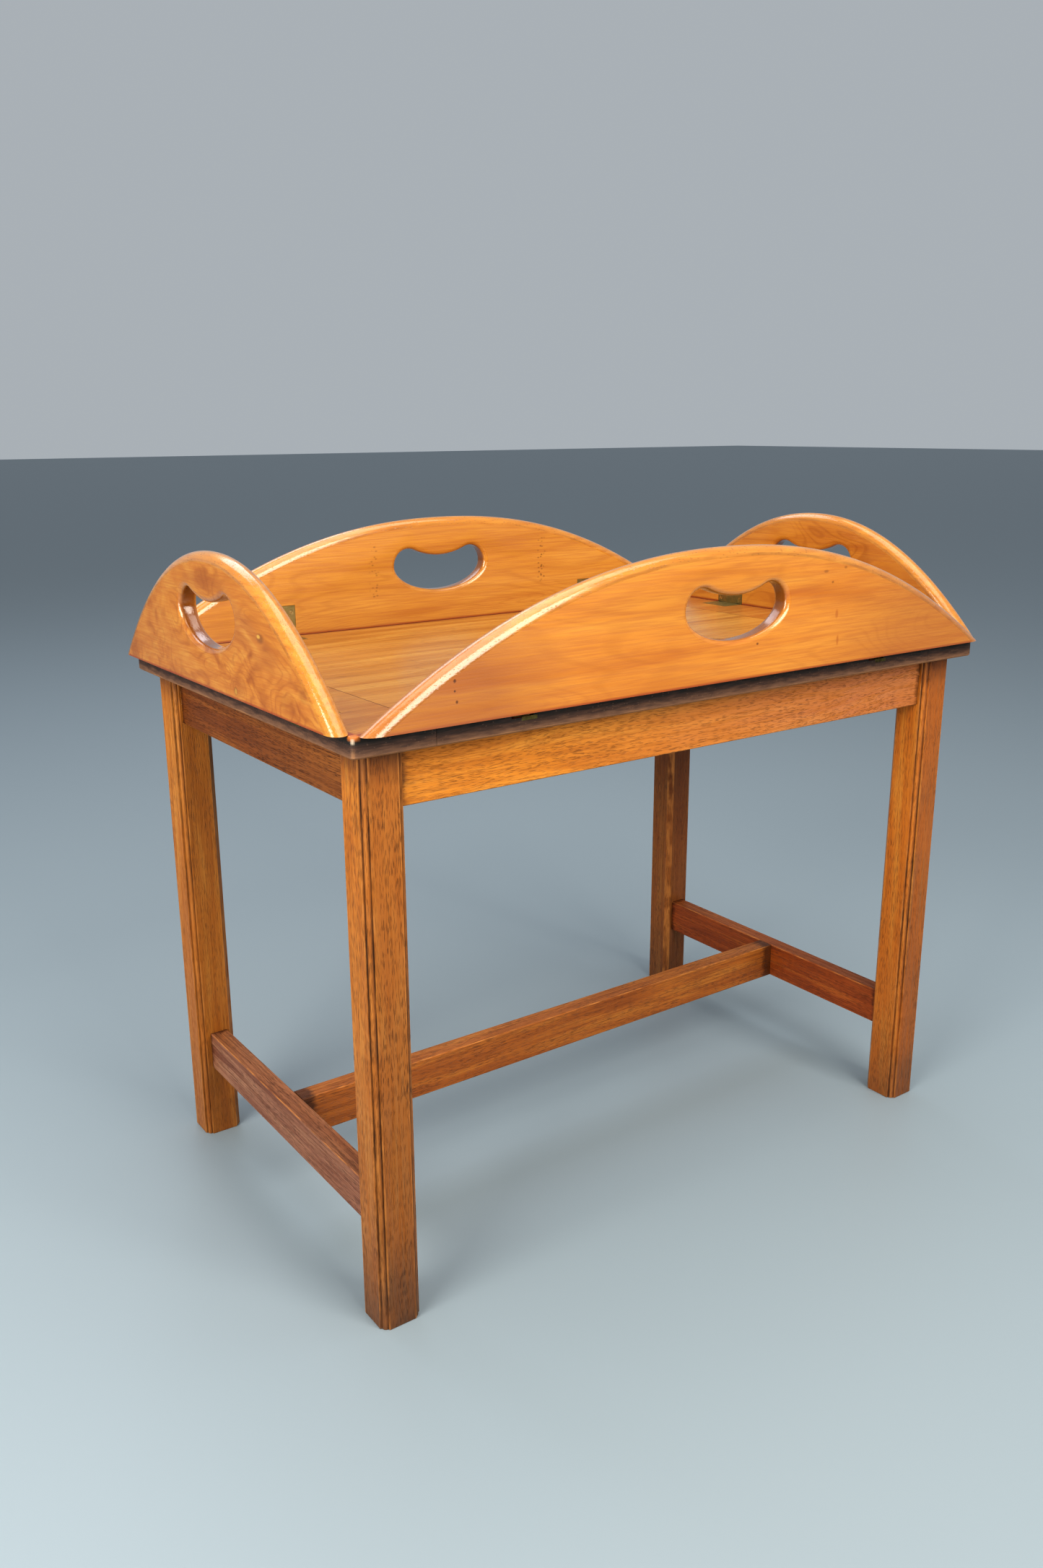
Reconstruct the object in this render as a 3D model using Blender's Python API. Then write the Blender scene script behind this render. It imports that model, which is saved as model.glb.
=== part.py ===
# Butler tray on a joined stand: a clamped board with four hinged flaps, each with a hand hole.
# Metres, +Z up. The origin is on the floor under the middle of the stand, +X runs along the
# long side and -Y is the front. The flaps are modelled standing up, as they are for carrying.

import math

import bmesh
import bpy
from mathutils import Matrix, Vector

# Clearances
FIT = 0.0003
OVERRUN = 0.002

# Tray board
TRAY_LENGTH = 0.708
TRAY_WIDTH = 0.440
TRAY_THICKNESS = 0.017
TRAY_CORNER_RADIUS = 0.004
TRAY_TOP_ARRIS = 0.0010
TRAY_BOTTOM_ARRIS = 0.0013
TRAY_CORNER_STEPS = 4
TRAY_ARRIS_STEPS = 2

# Clamped ends: the panel's tongues are housed in them
END_CLAMP_WIDTH = 0.070
TONGUE_THICKNESS = 0.0050
TONGUE_REACH = 0.0100
TONGUE_STOP = 0.0200

# Cleats under the clamped ends, which drop inside the stand's rails
CLEAT_WIDTH = 0.0250
CLEAT_DEPTH = 0.0140
CLEAT_PLAY = 0.0015
CLEAT_CHAMFER = 0.0020

# Stand
STAND_HEIGHT = 0.495
LEG_SIDE = 0.0375
LEG_INSET = 0.0138
LEG_MOULDING = 0.0055
LEG_QUIRK = 0.0016
LEG_QUIRK_SLOPE = 0.0004
LEG_CHAMFER = 0.0055
LEG_MOULDING_STEPS = 4

APRON_DEPTH = 0.048
APRON_THICKNESS = 0.018
APRON_SET_BACK = 0.0082
APRON_SHOULDER = 0.006
APRON_TENON_THICKNESS = 0.006
APRON_TENON_REACH = 0.015

STRETCHER_TOP = 0.1158
STRETCHER_DEPTH = 0.039
STRETCHER_THICKNESS = 0.018
CENTRE_THICKNESS = 0.0195
STRETCHER_SET_BACK = 0.011
STRETCHER_SHOULDER = 0.006
STRETCHER_TENON_THICKNESS = 0.007
STRETCHER_TENON_REACH = 0.020
CENTRE_TENON_REACH = 0.012
RAIL_ARRIS = 0.0008

# Flaps: an arch with a rounded edge, cut short of the tray's corners
FLAP_THICKNESS = 0.0175
FLAP_HEIGHT = 0.113
FLAP_END_GAP = 0.0010
FLAP_EDGE_ROUND = 0.0088
FLAP_ARCH_STEPS = 30
FLAP_EDGE_STEPS = 8
LONG_FLAP_FULLNESS = 2.18
SHORT_FLAP_FULLNESS = 2.08

# Hand holes: two lobes, a dip between them above and a half ellipse below
HOLE_HALF_WIDTH = 0.0615
HOLE_LOBE_RADIUS = 0.0230
HOLE_LINE_HEIGHT = 0.0625
HOLE_DROP = 0.0330
HOLE_DIP_RADIUS = 0.0736
HOLE_EDGE_ROUND = 0.0050
HOLE_LOBE_STEPS = 6
HOLE_DIP_STEPS = 4
HOLE_DROP_STEPS = 12
HOLE_ROUND_STEPS = 3

# Hinges: flush leaves, a knuckle that drops through a notch, a pin and a strip spring
HINGE_PIN_INBOARD = 0.0020
HINGE_PIN_DEPTH = 0.0023
PIN_DIAMETER = 0.0017
LEAF_WIDTH = 0.040
LEAF_THICKNESS = 0.0012
TRAY_LEAF_LENGTH = 0.032
FLAP_LEAF_LENGTH = 0.031
KNUCKLE_WIDTH = 0.015
KNUCKLE_RADIUS = 0.0020
KNUCKLE_CORNER = 0.0013
KNUCKLE_FLAT_DROP = 0.0007
KNUCKLE_STEPS = 8
EAR_THICKNESS = 0.0025
SPRING_THICKNESS = 0.0006
SPRING_WIDTH = 0.014
SPRING_REACH = 0.0155
SPRING_RELIEF = 0.0004
LONG_HINGE_FROM_END = 0.148
SHORT_HINGE_FROM_END = 0.0975
ROUND_STEPS = 16

# Worked out from the sizes above
FRAME_TOP = STAND_HEIGHT - FIT
LEG_CENTRE_X = TRAY_LENGTH / 2 - LEG_INSET - LEG_SIDE / 2
LEG_CENTRE_Y = TRAY_WIDTH / 2 - LEG_INSET - LEG_SIDE / 2
APRON_OFFSET = LEG_SIDE / 2 - APRON_SET_BACK - APRON_THICKNESS / 2
STRETCHER_OFFSET = LEG_SIDE / 2 - STRETCHER_SET_BACK - STRETCHER_THICKNESS / 2
APRON_Z = FRAME_TOP - APRON_DEPTH / 2
STRETCHER_Z = STRETCHER_TOP - STRETCHER_DEPTH / 2
FLAP_INNER_FACE = HINGE_PIN_DEPTH
FLAP_MIDDLE = FLAP_INNER_FACE - FLAP_THICKNESS / 2
FLAP_ROOT = HINGE_PIN_DEPTH + FIT
PIN_HOLE_RADIUS = PIN_DIAMETER / 2 + FIT
ARRIS_SWING = TRAY_TOP_ARRIS + math.hypot(HINGE_PIN_INBOARD - TRAY_TOP_ARRIS,
                                          HINGE_PIN_DEPTH - TRAY_TOP_ARRIS)
HOLLOW_RADIUS = ARRIS_SWING + FIT
LEAF_UNDERSIDE = HINGE_PIN_DEPTH - LEAF_THICKNESS
FLAP_LEAF_START = math.sqrt(HOLLOW_RADIUS ** 2 - LEAF_UNDERSIDE ** 2)
NOTCH_END = HINGE_PIN_DEPTH + SPRING_RELIEF
LONG_HINGE_OFFSET = TRAY_LENGTH / 2 - LONG_HINGE_FROM_END
SHORT_HINGE_OFFSET = TRAY_WIDTH / 2 - SHORT_HINGE_FROM_END

# Each side of the tray: how far its edge is from the middle, half its length, its turn about Z
SIDES = {
    "front": {"edge": TRAY_WIDTH / 2, "half": TRAY_LENGTH / 2, "turn": 0,
              "fullness": LONG_FLAP_FULLNESS, "hinge_offset": LONG_HINGE_OFFSET,
              "hinges": ("left", "right")},
    "right": {"edge": TRAY_LENGTH / 2, "half": TRAY_WIDTH / 2, "turn": 1,
              "fullness": SHORT_FLAP_FULLNESS, "hinge_offset": SHORT_HINGE_OFFSET,
              "hinges": ("front", "rear")},
    "rear": {"edge": TRAY_WIDTH / 2, "half": TRAY_LENGTH / 2, "turn": 2,
             "fullness": LONG_FLAP_FULLNESS, "hinge_offset": LONG_HINGE_OFFSET,
             "hinges": ("right", "left")},
    "left": {"edge": TRAY_LENGTH / 2, "half": TRAY_WIDTH / 2, "turn": 3,
             "fullness": SHORT_FLAP_FULLNESS, "hinge_offset": SHORT_HINGE_OFFSET,
             "hinges": ("rear", "front")},
}
HINGE_SIGNS = (-1, 1)
QUARTER_TURN = math.pi / 2


def clear_scene():
    for thing in list(bpy.data.objects):
        bpy.data.objects.remove(thing, do_unlink=True)


def make_collection(name):
    collection = bpy.data.collections.new(name)
    bpy.context.scene.collection.children.link(collection)
    return collection


def linear(channel):
    """One sRGB channel from 0 to 1 as a linear value."""
    if channel <= 0.04045:
        return channel / 12.92
    return ((channel + 0.055) / 1.055) ** 2.4


def make_material(name, hex_colour, roughness, metallic):
    """A plain Principled material from an sRGB hex colour."""
    material = bpy.data.materials.new(name)
    material.use_nodes = True
    shader = material.node_tree.nodes["Principled BSDF"]
    channels = [int(hex_colour[i:i + 2], 16) / 255 for i in (0, 2, 4)]
    shader.inputs["Base Color"].default_value = (*[linear(c) for c in channels], 1)
    shader.inputs["Roughness"].default_value = roughness
    shader.inputs["Metallic"].default_value = metallic
    return material


def make_materials():
    return {
        "stand": make_material("stained_stand_timber", "8A4B22", 0.45, 0),
        "panel": make_material("board_timber", "B8702E", 0.38, 0),
        "cleat": make_material("cleat_timber", "7A4A26", 0.6, 0),
        "flap": make_material("flap_timber", "D58A32", 0.32, 0),
        "brass": make_material("aged_brass", "8C7A3C", 0.38, 1),
        "pin": make_material("pin_steel", "8E8A80", 0.35, 1),
        "spring": make_material("spring_steel", "5F6064", 0.4, 1),
    }


def mesh_from(bm, name):
    """A finished mesh from a bmesh, with its faces pointing out."""
    bmesh.ops.recalc_face_normals(bm, faces=bm.faces)
    mesh = bpy.data.meshes.new(name)
    bm.to_mesh(mesh)
    bm.free()
    return mesh


def box_bmesh(low, high):
    """A box between two opposite corners."""
    bm = bmesh.new()
    bmesh.ops.create_cube(bm, size=1)
    size = [high[i] - low[i] for i in range(3)]
    middle = [(high[i] + low[i]) / 2 for i in range(3)]
    bmesh.ops.scale(bm, vec=size, verts=bm.verts)
    bmesh.ops.translate(bm, vec=middle, verts=bm.verts)
    return bm


def box(name, low, high):
    return mesh_from(box_bmesh(low, high), name)


def rod(name, radius, length, steps):
    """A round rod along X, centred."""
    bm = bmesh.new()
    bmesh.ops.create_cone(bm, cap_ends=True, segments=steps, radius1=radius, radius2=radius,
                          depth=length)
    bmesh.ops.rotate(bm, matrix=Matrix.Rotation(QUARTER_TURN, 3, "Y"), verts=bm.verts)
    return mesh_from(bm, name)


def bevel_edges(bm, wanted, width, steps):
    """Rounds the edges that wanted(first_point, second_point) picks."""
    edges = [e for e in bm.edges if wanted(e.verts[0].co, e.verts[1].co)]
    bmesh.ops.bevel(bm, geom=edges, offset=width, segments=steps, profile=0.5,
                    affect="EDGES", material=-1, clamp_overlap=True)


def plate(name, outlines, thickness):
    """A flat plate in XY from closed outlines (the later ones are holes), centred on Z."""
    curve = bpy.data.curves.new(name, "CURVE")
    curve.dimensions = "2D"
    curve.fill_mode = "BOTH"
    curve.extrude = thickness / 2
    for outline in outlines:
        spline = curve.splines.new("POLY")
        spline.points.add(len(outline) - 1)
        for point, (x, y) in zip(spline.points, outline):
            point.co = (x, y, 0, 1)
        spline.use_cyclic_u = True
    maker = bpy.data.objects.new(name, curve)
    bpy.context.scene.collection.objects.link(maker)
    graph = bpy.context.evaluated_depsgraph_get()
    mesh = bpy.data.meshes.new_from_object(maker.evaluated_get(graph))
    bpy.data.objects.remove(maker, do_unlink=True)
    bpy.data.curves.remove(curve)
    bm = bmesh.new()
    bm.from_mesh(mesh)
    bpy.data.meshes.remove(mesh)
    bmesh.ops.remove_doubles(bm, verts=bm.verts, dist=FIT / 100)
    bmesh.ops.dissolve_limit(bm, angle_limit=math.radians(1), verts=bm.verts, edges=bm.edges)
    return mesh_from(bm, name)


def side_plate(name, outlines, thickness):
    """The same plate stood in YZ: the outline's first value is Y and its second is Z."""
    mesh = plate(name, outlines, thickness)
    mesh.transform(Matrix(((0, 0, 1, 0), (1, 0, 0, 0), (0, 1, 0, 0), (0, 0, 0, 1))))
    return mesh


def add_boolean(target, other, operation):
    modifier = target.modifiers.new(other.name, "BOOLEAN")
    modifier.operation = operation
    modifier.solver = "EXACT"
    modifier.object = other


def joined(name, meshes):
    """One solid from meshes that overlap."""
    objects = [bpy.data.objects.new(name, mesh) for mesh in meshes]
    for thing in objects:
        bpy.context.scene.collection.objects.link(thing)
    for other in objects[1:]:
        add_boolean(objects[0], other, "UNION")
    graph = bpy.context.evaluated_depsgraph_get()
    result = bpy.data.meshes.new_from_object(objects[0].evaluated_get(graph))
    result.name = name
    for thing in objects:
        bpy.data.objects.remove(thing, do_unlink=True)
    return result


def smooth(mesh):
    """Shades round faces smooth and keeps the corners sharp."""
    mesh.shade_smooth()
    mesh.set_sharp_from_angle(angle=math.radians(35))


class Workshop:
    """Puts finished pieces and cutters into their collections."""

    def __init__(self):
        self.pieces = make_collection("butler_tray")
        self.cutters = make_collection("cutters")
        self.materials = make_materials()

    def empty(self, name, location, turn=0, parent=None):
        thing = bpy.data.objects.new(name, None)
        thing.empty_display_size = LEG_SIDE
        return self.place(thing, self.pieces, location, turn, parent)

    def piece(self, name, mesh, material, location=(0, 0, 0), turn=0, parent=None):
        smooth(mesh)
        if not mesh.materials:
            mesh.materials.append(self.materials[material])
        mesh.materials[0] = self.materials[material]
        thing = bpy.data.objects.new(name, mesh)
        return self.place(thing, self.pieces, location, turn, parent)

    def cutter(self, name, mesh, location=(0, 0, 0), turn=0, parent=None):
        thing = bpy.data.objects.new(name, mesh)
        thing.display_type = "WIRE"
        thing.hide_render = True
        return self.place(thing, self.cutters, location, turn, parent)

    def cut(self, target, name, mesh, location=(0, 0, 0), turn=0, parent=None):
        """Takes a cutter's shape out of a piece."""
        add_boolean(target, self.cutter(name, mesh, location, turn, parent), "DIFFERENCE")

    @staticmethod
    def place(thing, collection, location, turn, parent):
        collection.objects.link(thing)
        thing.location = location
        thing.rotation_euler = (0, 0, turn * QUARTER_TURN)
        thing.parent = parent
        return thing


def arc(centre, radius, start_degrees, end_degrees, steps):
    """Points along an arc, both ends included."""
    points = []
    for i in range(steps + 1):
        angle = math.radians(start_degrees + (end_degrees - start_degrees) * i / steps)
        points.append((centre[0] + radius * math.cos(angle),
                       centre[1] + radius * math.sin(angle)))
    return points


def ovolo_corner():
    """The moulded corner of a leg: a quarter round between two quirks, corner at (0, 0)."""
    middle = (LEG_MOULDING, LEG_MOULDING)
    curve = arc(middle, LEG_MOULDING - LEG_QUIRK, 270, 180, LEG_MOULDING_STEPS)
    shoulder = LEG_MOULDING + LEG_QUIRK_SLOPE
    return [(shoulder, 0), *curve, (0, shoulder)]


def leg_outline(side_x, side_y):
    """A leg's section: three moulded corners and a plain chamfer at the inner one."""
    half = LEG_SIDE / 2
    outline = []
    for corner_x, corner_y in ((-1, -1), (1, -1), (1, 1), (-1, 1)):
        inner = corner_x == -side_x and corner_y == -side_y
        corner = [(LEG_CHAMFER, 0), (0, LEG_CHAMFER)] if inner else ovolo_corner()
        if corner_x * corner_y > 0:
            corner = corner[::-1]
        for a, b in corner:
            outline.append((corner_x * (half - a), corner_y * (half - b)))
    return outline


def leg_mesh(name, side_x, side_y):
    """A leg, standing on the floor."""
    mesh = plate(name, [leg_outline(side_x, side_y)], FRAME_TOP)
    mesh.transform(Matrix.Translation((0, 0, FRAME_TOP / 2)))
    return mesh


def mortise(name, tenon_thickness, tenon_depth, reach):
    """A mortise's hollow, entering the timber along +X from its mouth at the origin."""
    half_thickness = tenon_thickness / 2 + FIT
    half_depth = tenon_depth / 2 + FIT
    return box(name, (-OVERRUN, -half_thickness, -half_depth),
               (reach + FIT, half_thickness, half_depth))


def tenoned_rail(name, shoulder_length, depth, thickness, shoulder, tenon_thickness, reach):
    """A rail along X with a tenon at each end."""
    half = shoulder_length / 2
    body = box_bmesh((-half, -thickness / 2, -depth / 2), (half, thickness / 2, depth / 2))
    bevel_edges(body, lambda a, b: a.x * b.x < 0, RAIL_ARRIS, 1)
    tenon_depth = depth - 2 * shoulder
    tenon = box(name + "_tenon", (-half - reach, -tenon_thickness / 2, -tenon_depth / 2),
                (half + reach, tenon_thickness / 2, tenon_depth / 2))
    return joined(name, [mesh_from(body, name + "_body"), tenon])


def build_stand(shop):
    frame = shop.empty("stand_frame", (0, 0, 0))
    apron_tenon_depth = APRON_DEPTH - 2 * APRON_SHOULDER
    stretcher_tenon_depth = STRETCHER_DEPTH - 2 * STRETCHER_SHOULDER
    leg_face = LEG_SIDE / 2
    for side_x, x_name in ((-1, "left"), (1, "right")):
        for side_y, y_name in ((-1, "front"), (1, "rear")):
            name = f"leg_{y_name}_{x_name}"
            x = side_x * LEG_CENTRE_X
            y = side_y * LEG_CENTRE_Y
            leg = shop.piece(name, leg_mesh(name, side_x, side_y), "stand", (x, y, 0),
                             parent=frame)
            long_apron = mortise(name + "_long_apron_mortise", APRON_TENON_THICKNESS,
                                 apron_tenon_depth, APRON_TENON_REACH)
            shop.cut(leg, long_apron.name, long_apron,
                     (x - side_x * leg_face, y + side_y * APRON_OFFSET, APRON_Z),
                     0 if side_x > 0 else 2, frame)
            short_apron = mortise(name + "_short_apron_mortise", APRON_TENON_THICKNESS,
                                  apron_tenon_depth, APRON_TENON_REACH)
            shop.cut(leg, short_apron.name, short_apron,
                     (x + side_x * APRON_OFFSET, y - side_y * leg_face, APRON_Z),
                     side_y, frame)
            stretcher = mortise(name + "_stretcher_mortise", STRETCHER_TENON_THICKNESS,
                                stretcher_tenon_depth, STRETCHER_TENON_REACH)
            shop.cut(leg, stretcher.name, stretcher,
                     (x + side_x * STRETCHER_OFFSET, y - side_y * leg_face, STRETCHER_Z),
                     side_y, frame)
    build_rails(shop, frame, leg_face)


def build_rails(shop, frame, leg_face):
    """The four aprons, the two side stretchers and the long stretcher between them."""
    long_gap = 2 * (LEG_CENTRE_X - leg_face - FIT)
    short_gap = 2 * (LEG_CENTRE_Y - leg_face - FIT)
    for side, name in ((-1, "front"), (1, "rear")):
        apron = tenoned_rail(f"apron_{name}", long_gap, APRON_DEPTH, APRON_THICKNESS,
                             APRON_SHOULDER, APRON_TENON_THICKNESS, APRON_TENON_REACH)
        shop.piece(apron.name, apron, "stand", (0, side * (LEG_CENTRE_Y + APRON_OFFSET), APRON_Z),
                   parent=frame)
    stretcher_x = LEG_CENTRE_X + STRETCHER_OFFSET
    inner_face = stretcher_x - STRETCHER_THICKNESS / 2
    tenon_depth = STRETCHER_DEPTH - 2 * STRETCHER_SHOULDER
    for side, name in ((-1, "left"), (1, "right")):
        apron = tenoned_rail(f"apron_{name}", short_gap, APRON_DEPTH, APRON_THICKNESS,
                             APRON_SHOULDER, APRON_TENON_THICKNESS, APRON_TENON_REACH)
        shop.piece(apron.name, apron, "stand", (side * (LEG_CENTRE_X + APRON_OFFSET), 0, APRON_Z),
                   1, frame)
        stretcher = tenoned_rail(f"stretcher_{name}", short_gap, STRETCHER_DEPTH,
                                 STRETCHER_THICKNESS, STRETCHER_SHOULDER,
                                 STRETCHER_TENON_THICKNESS, STRETCHER_TENON_REACH)
        rail = shop.piece(stretcher.name, stretcher, "stand", (side * stretcher_x, 0, STRETCHER_Z),
                          1, frame)
        housing = mortise(f"stretcher_{name}_mortise", STRETCHER_TENON_THICKNESS, tenon_depth,
                          CENTRE_TENON_REACH)
        shop.cut(rail, housing.name, housing, (side * inner_face, 0, STRETCHER_Z),
                 0 if side > 0 else 2, frame)
    centre = tenoned_rail("stretcher_centre", 2 * (inner_face - FIT), STRETCHER_DEPTH,
                          CENTRE_THICKNESS, STRETCHER_SHOULDER, STRETCHER_TENON_THICKNESS,
                          CENTRE_TENON_REACH)
    shop.piece(centre.name, centre, "stand", (0, 0, STRETCHER_Z), parent=frame)


def board_piece(name, low, high, open_ends):
    """A piece of the board with its outer edges eased; open_ends are the X of its joints."""
    def at_joint(point):
        return any(abs(point.x - end) < FIT / 2 for end in open_ends)

    def upright(a, b):
        return abs(a.z - b.z) > FIT and not at_joint(a)

    def rim(a, b, level):
        flat = abs(a.z - level) < FIT / 2 and abs(b.z - level) < FIT / 2
        across_grain = abs(a.x - b.x) < FIT / 2
        return flat and not (across_grain and at_joint(a))

    bm = box_bmesh(low, high)
    bevel_edges(bm, upright, TRAY_CORNER_RADIUS, TRAY_CORNER_STEPS)
    bevel_edges(bm, lambda a, b: rim(a, b, high[2]), TRAY_TOP_ARRIS, TRAY_ARRIS_STEPS)
    bevel_edges(bm, lambda a, b: rim(a, b, low[2]), TRAY_BOTTOM_ARRIS, 1)
    return mesh_from(bm, name)


def build_board(shop, tray):
    """The panel, its two clamped ends and the cleats below; the tray's frame is at its underside."""
    half_width = TRAY_WIDTH / 2
    joint = TRAY_LENGTH / 2 - END_CLAMP_WIDTH
    tongue_low = (TRAY_THICKNESS - TONGUE_THICKNESS) / 2
    tongue_high = tongue_low + TONGUE_THICKNESS
    tongue_half = half_width - TONGUE_STOP
    panel_end = joint - FIT
    panel = board_piece("tray_panel_body", (-panel_end, -half_width, 0),
                        (panel_end, half_width, TRAY_THICKNESS), (-panel_end, panel_end))
    tongues = box("tray_panel_tongues", (-joint - TONGUE_REACH, -tongue_half, tongue_low),
                  (joint + TONGUE_REACH, tongue_half, tongue_high))
    board = {"panel": shop.piece("tray_panel", joined("tray_panel", [panel, tongues]), "panel",
                                 parent=tray)}
    groove = box("tongue_groove", (-OVERRUN, -tongue_half - FIT, tongue_low - FIT),
                 (TONGUE_REACH + FIT, tongue_half + FIT, tongue_high + FIT))
    apron_inner = LEG_CENTRE_X + APRON_OFFSET - APRON_THICKNESS / 2
    cleat_outer = apron_inner - CLEAT_PLAY
    cleat_half = LEG_CENTRE_Y - LEG_SIDE / 2 - CLEAT_PLAY
    for side, name in ((-1, "left"), (1, "right")):
        ends = sorted((side * joint, side * TRAY_LENGTH / 2))
        mesh = board_piece(f"tray_end_{name}", (ends[0], -half_width, 0),
                           (ends[1], half_width, TRAY_THICKNESS), (side * joint,))
        clamp = shop.piece(mesh.name, mesh, "panel", parent=tray)
        shop.cut(clamp, f"tray_end_{name}_groove", groove, (side * joint, 0, 0),
                 0 if side > 0 else 2, tray)
        board[name] = clamp
        spread = sorted((side * (cleat_outer - CLEAT_WIDTH), side * cleat_outer))
        cleat = box_bmesh((spread[0], -cleat_half, -FIT - CLEAT_DEPTH),
                          (spread[1], cleat_half, -FIT))
        bottom = -FIT - CLEAT_DEPTH
        bevel_edges(cleat, lambda a, b: max(a.z, b.z) < bottom + FIT, CLEAT_CHAMFER, 1)
        shop.piece(f"cleat_{name}", mesh_from(cleat, f"cleat_{name}"), "cleat", parent=tray)
    return board


def arch_point(share, half_length, fullness, inset):
    """A point of a flap's arch at a share of its half length, moved in by inset."""
    x = share * half_length
    height = FLAP_HEIGHT * (1 - abs(share) ** fullness)
    slope = -FLAP_HEIGHT * fullness * abs(share) ** (fullness - 1) / half_length
    if share < 0:
        slope = -slope
    length = math.hypot(slope, 1)
    return x + inset * slope / length, height - inset / length


def arch_foot(half_length, fullness, inset):
    """The share at which the arch, moved in by inset, comes down to the flap's root."""
    low = 0
    high = 1
    for _ in range(40):
        middle = (low + high) / 2
        if arch_point(middle, half_length, fullness, inset)[1] > 0:
            low = middle
        else:
            high = middle
    return low


def flap_mesh(name, half_length, fullness):
    """A flap standing on its root, lofted through its thickness; Y = 0 and Z = 0 on the pin."""
    bm = bmesh.new()
    rings = []
    for level in range(FLAP_EDGE_STEPS + 1):
        angle = math.pi * (level / FLAP_EDGE_STEPS - 1 / 2)
        y = FLAP_MIDDLE + FLAP_THICKNESS / 2 * math.sin(angle)
        inset = FLAP_EDGE_ROUND * (1 - math.cos(angle))
        foot = arch_foot(half_length, fullness, inset)
        ring = []
        for i in range(FLAP_ARCH_STEPS + 1):
            share = foot * math.sin(QUARTER_TURN * (2 * i / FLAP_ARCH_STEPS - 1))
            x, z = arch_point(share, half_length, fullness, inset)
            ring.append(bm.verts.new((x, y, FLAP_ROOT + max(z, 0))))
        rings.append(ring)
    for first, second in zip(rings, rings[1:]):
        for i in range(FLAP_ARCH_STEPS):
            bm.faces.new((first[i], first[i + 1], second[i + 1], second[i]))
    bm.faces.new(rings[0])
    bm.faces.new(rings[-1][::-1])
    bm.faces.new([ring[0] for ring in rings] + [ring[-1] for ring in rings[::-1]])
    return mesh_from(bm, name)


def hole_outline(inset):
    """The hand hole's outline about its centre line, moved in by inset."""
    lobe_x = HOLE_HALF_WIDTH - HOLE_LOBE_RADIUS
    dip_rise = math.sqrt((HOLE_LOBE_RADIUS + HOLE_DIP_RADIUS) ** 2 - lobe_x ** 2)
    meeting = math.degrees(math.atan2(dip_rise, -lobe_x))
    lobe = arc((lobe_x, 0), HOLE_LOBE_RADIUS - inset, 0, meeting, HOLE_LOBE_STEPS)
    dip = arc((0, dip_rise), HOLE_DIP_RADIUS + inset, meeting - 180, -meeting, HOLE_DIP_STEPS)
    far_lobe = [(-x, z) for x, z in lobe[::-1]]
    drop = []
    for i in range(1, HOLE_DROP_STEPS):
        angle = math.pi + math.pi * i / HOLE_DROP_STEPS
        along = math.cos(angle) / HOLE_HALF_WIDTH
        down = math.sin(angle) / HOLE_DROP
        length = math.hypot(along, down)
        drop.append((HOLE_HALF_WIDTH * math.cos(angle) - inset * along / length,
                     HOLE_DROP * math.sin(angle) - inset * down / length))
    return lobe + dip[1:-1] + far_lobe + drop


def hole_cutter_mesh():
    """The hand hole's hollow: a straight middle that opens out in a quarter round to each face."""
    depths = []
    straight = FLAP_THICKNESS / 2 - HOLE_EDGE_ROUND
    for step in range(HOLE_ROUND_STEPS + 1):
        angle = QUARTER_TURN * step / HOLE_ROUND_STEPS
        depths.append((straight + HOLE_EDGE_ROUND * math.sin(angle),
                       HOLE_EDGE_ROUND * math.cos(angle)))
    depths.append((FLAP_THICKNESS / 2 + OVERRUN, 0))
    levels = [(-depth, inset) for depth, inset in depths[::-1]] + depths
    bm = bmesh.new()
    rings = []
    for depth, inset in levels:
        outline = hole_outline(inset)
        rings.append([bm.verts.new((x, FLAP_MIDDLE + depth, FLAP_ROOT + HOLE_LINE_HEIGHT + z))
                      for x, z in outline])
    for first, second in zip(rings, rings[1:]):
        count = len(first)
        for i in range(count):
            after = (i + 1) % count
            bm.faces.new((first[i], first[after], second[after], second[i]))
    bm.faces.new(rings[0])
    bm.faces.new(rings[-1][::-1])
    return mesh_from(bm, "hand_hole")


def knuckle_outline():
    """The flap knuckle's section: round below, with two flats for the spring and an arm up."""
    flat = HINGE_PIN_DEPTH
    edge = flat - KNUCKLE_CORNER
    arm_meets = math.degrees(math.asin(LEAF_UNDERSIDE / KNUCKLE_RADIUS))
    start = 90 - arm_meets
    turn = math.degrees(math.asin(KNUCKLE_FLAT_DROP / KNUCKLE_RADIUS))
    arm_top = FLAP_LEAF_START + LEAF_THICKNESS
    outline = [(LEAF_UNDERSIDE, arm_top), (flat, arm_top), (flat, -edge), (edge, -flat),
               (-KNUCKLE_FLAT_DROP, -flat)]
    outline += arc((0, 0), KNUCKLE_RADIUS, 270 - turn, start, KNUCKLE_STEPS)
    return outline


def round_outline(radius, steps):
    return arc((0, 0), radius, 0, 360 * (steps - 1) / steps, steps - 1)


def flap_leaf_mesh():
    """The leaf let into a flap's inner face, with its arm and knuckle; origin on the pin."""
    leaf = box("flap_leaf_plate", (-LEAF_WIDTH / 2, LEAF_UNDERSIDE, FLAP_LEAF_START),
               (LEAF_WIDTH / 2, HINGE_PIN_DEPTH, FLAP_LEAF_START + FLAP_LEAF_LENGTH))
    knuckle = side_plate("flap_leaf_knuckle",
                         [knuckle_outline(), round_outline(PIN_HOLE_RADIUS, ROUND_STEPS)],
                         KNUCKLE_WIDTH)
    return joined("hinge_flap_leaf", [leaf, knuckle])


def ear_outline():
    """The side view of one of the tray leaf's ears: round under the leaf it hangs from."""
    under = arc((0, 0), KNUCKLE_RADIUS, 180, 360, KNUCKLE_STEPS)
    top = LEAF_UNDERSIDE + LEAF_THICKNESS / 2
    return under + [(KNUCKLE_RADIUS, top), (-KNUCKLE_RADIUS, top)]


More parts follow.
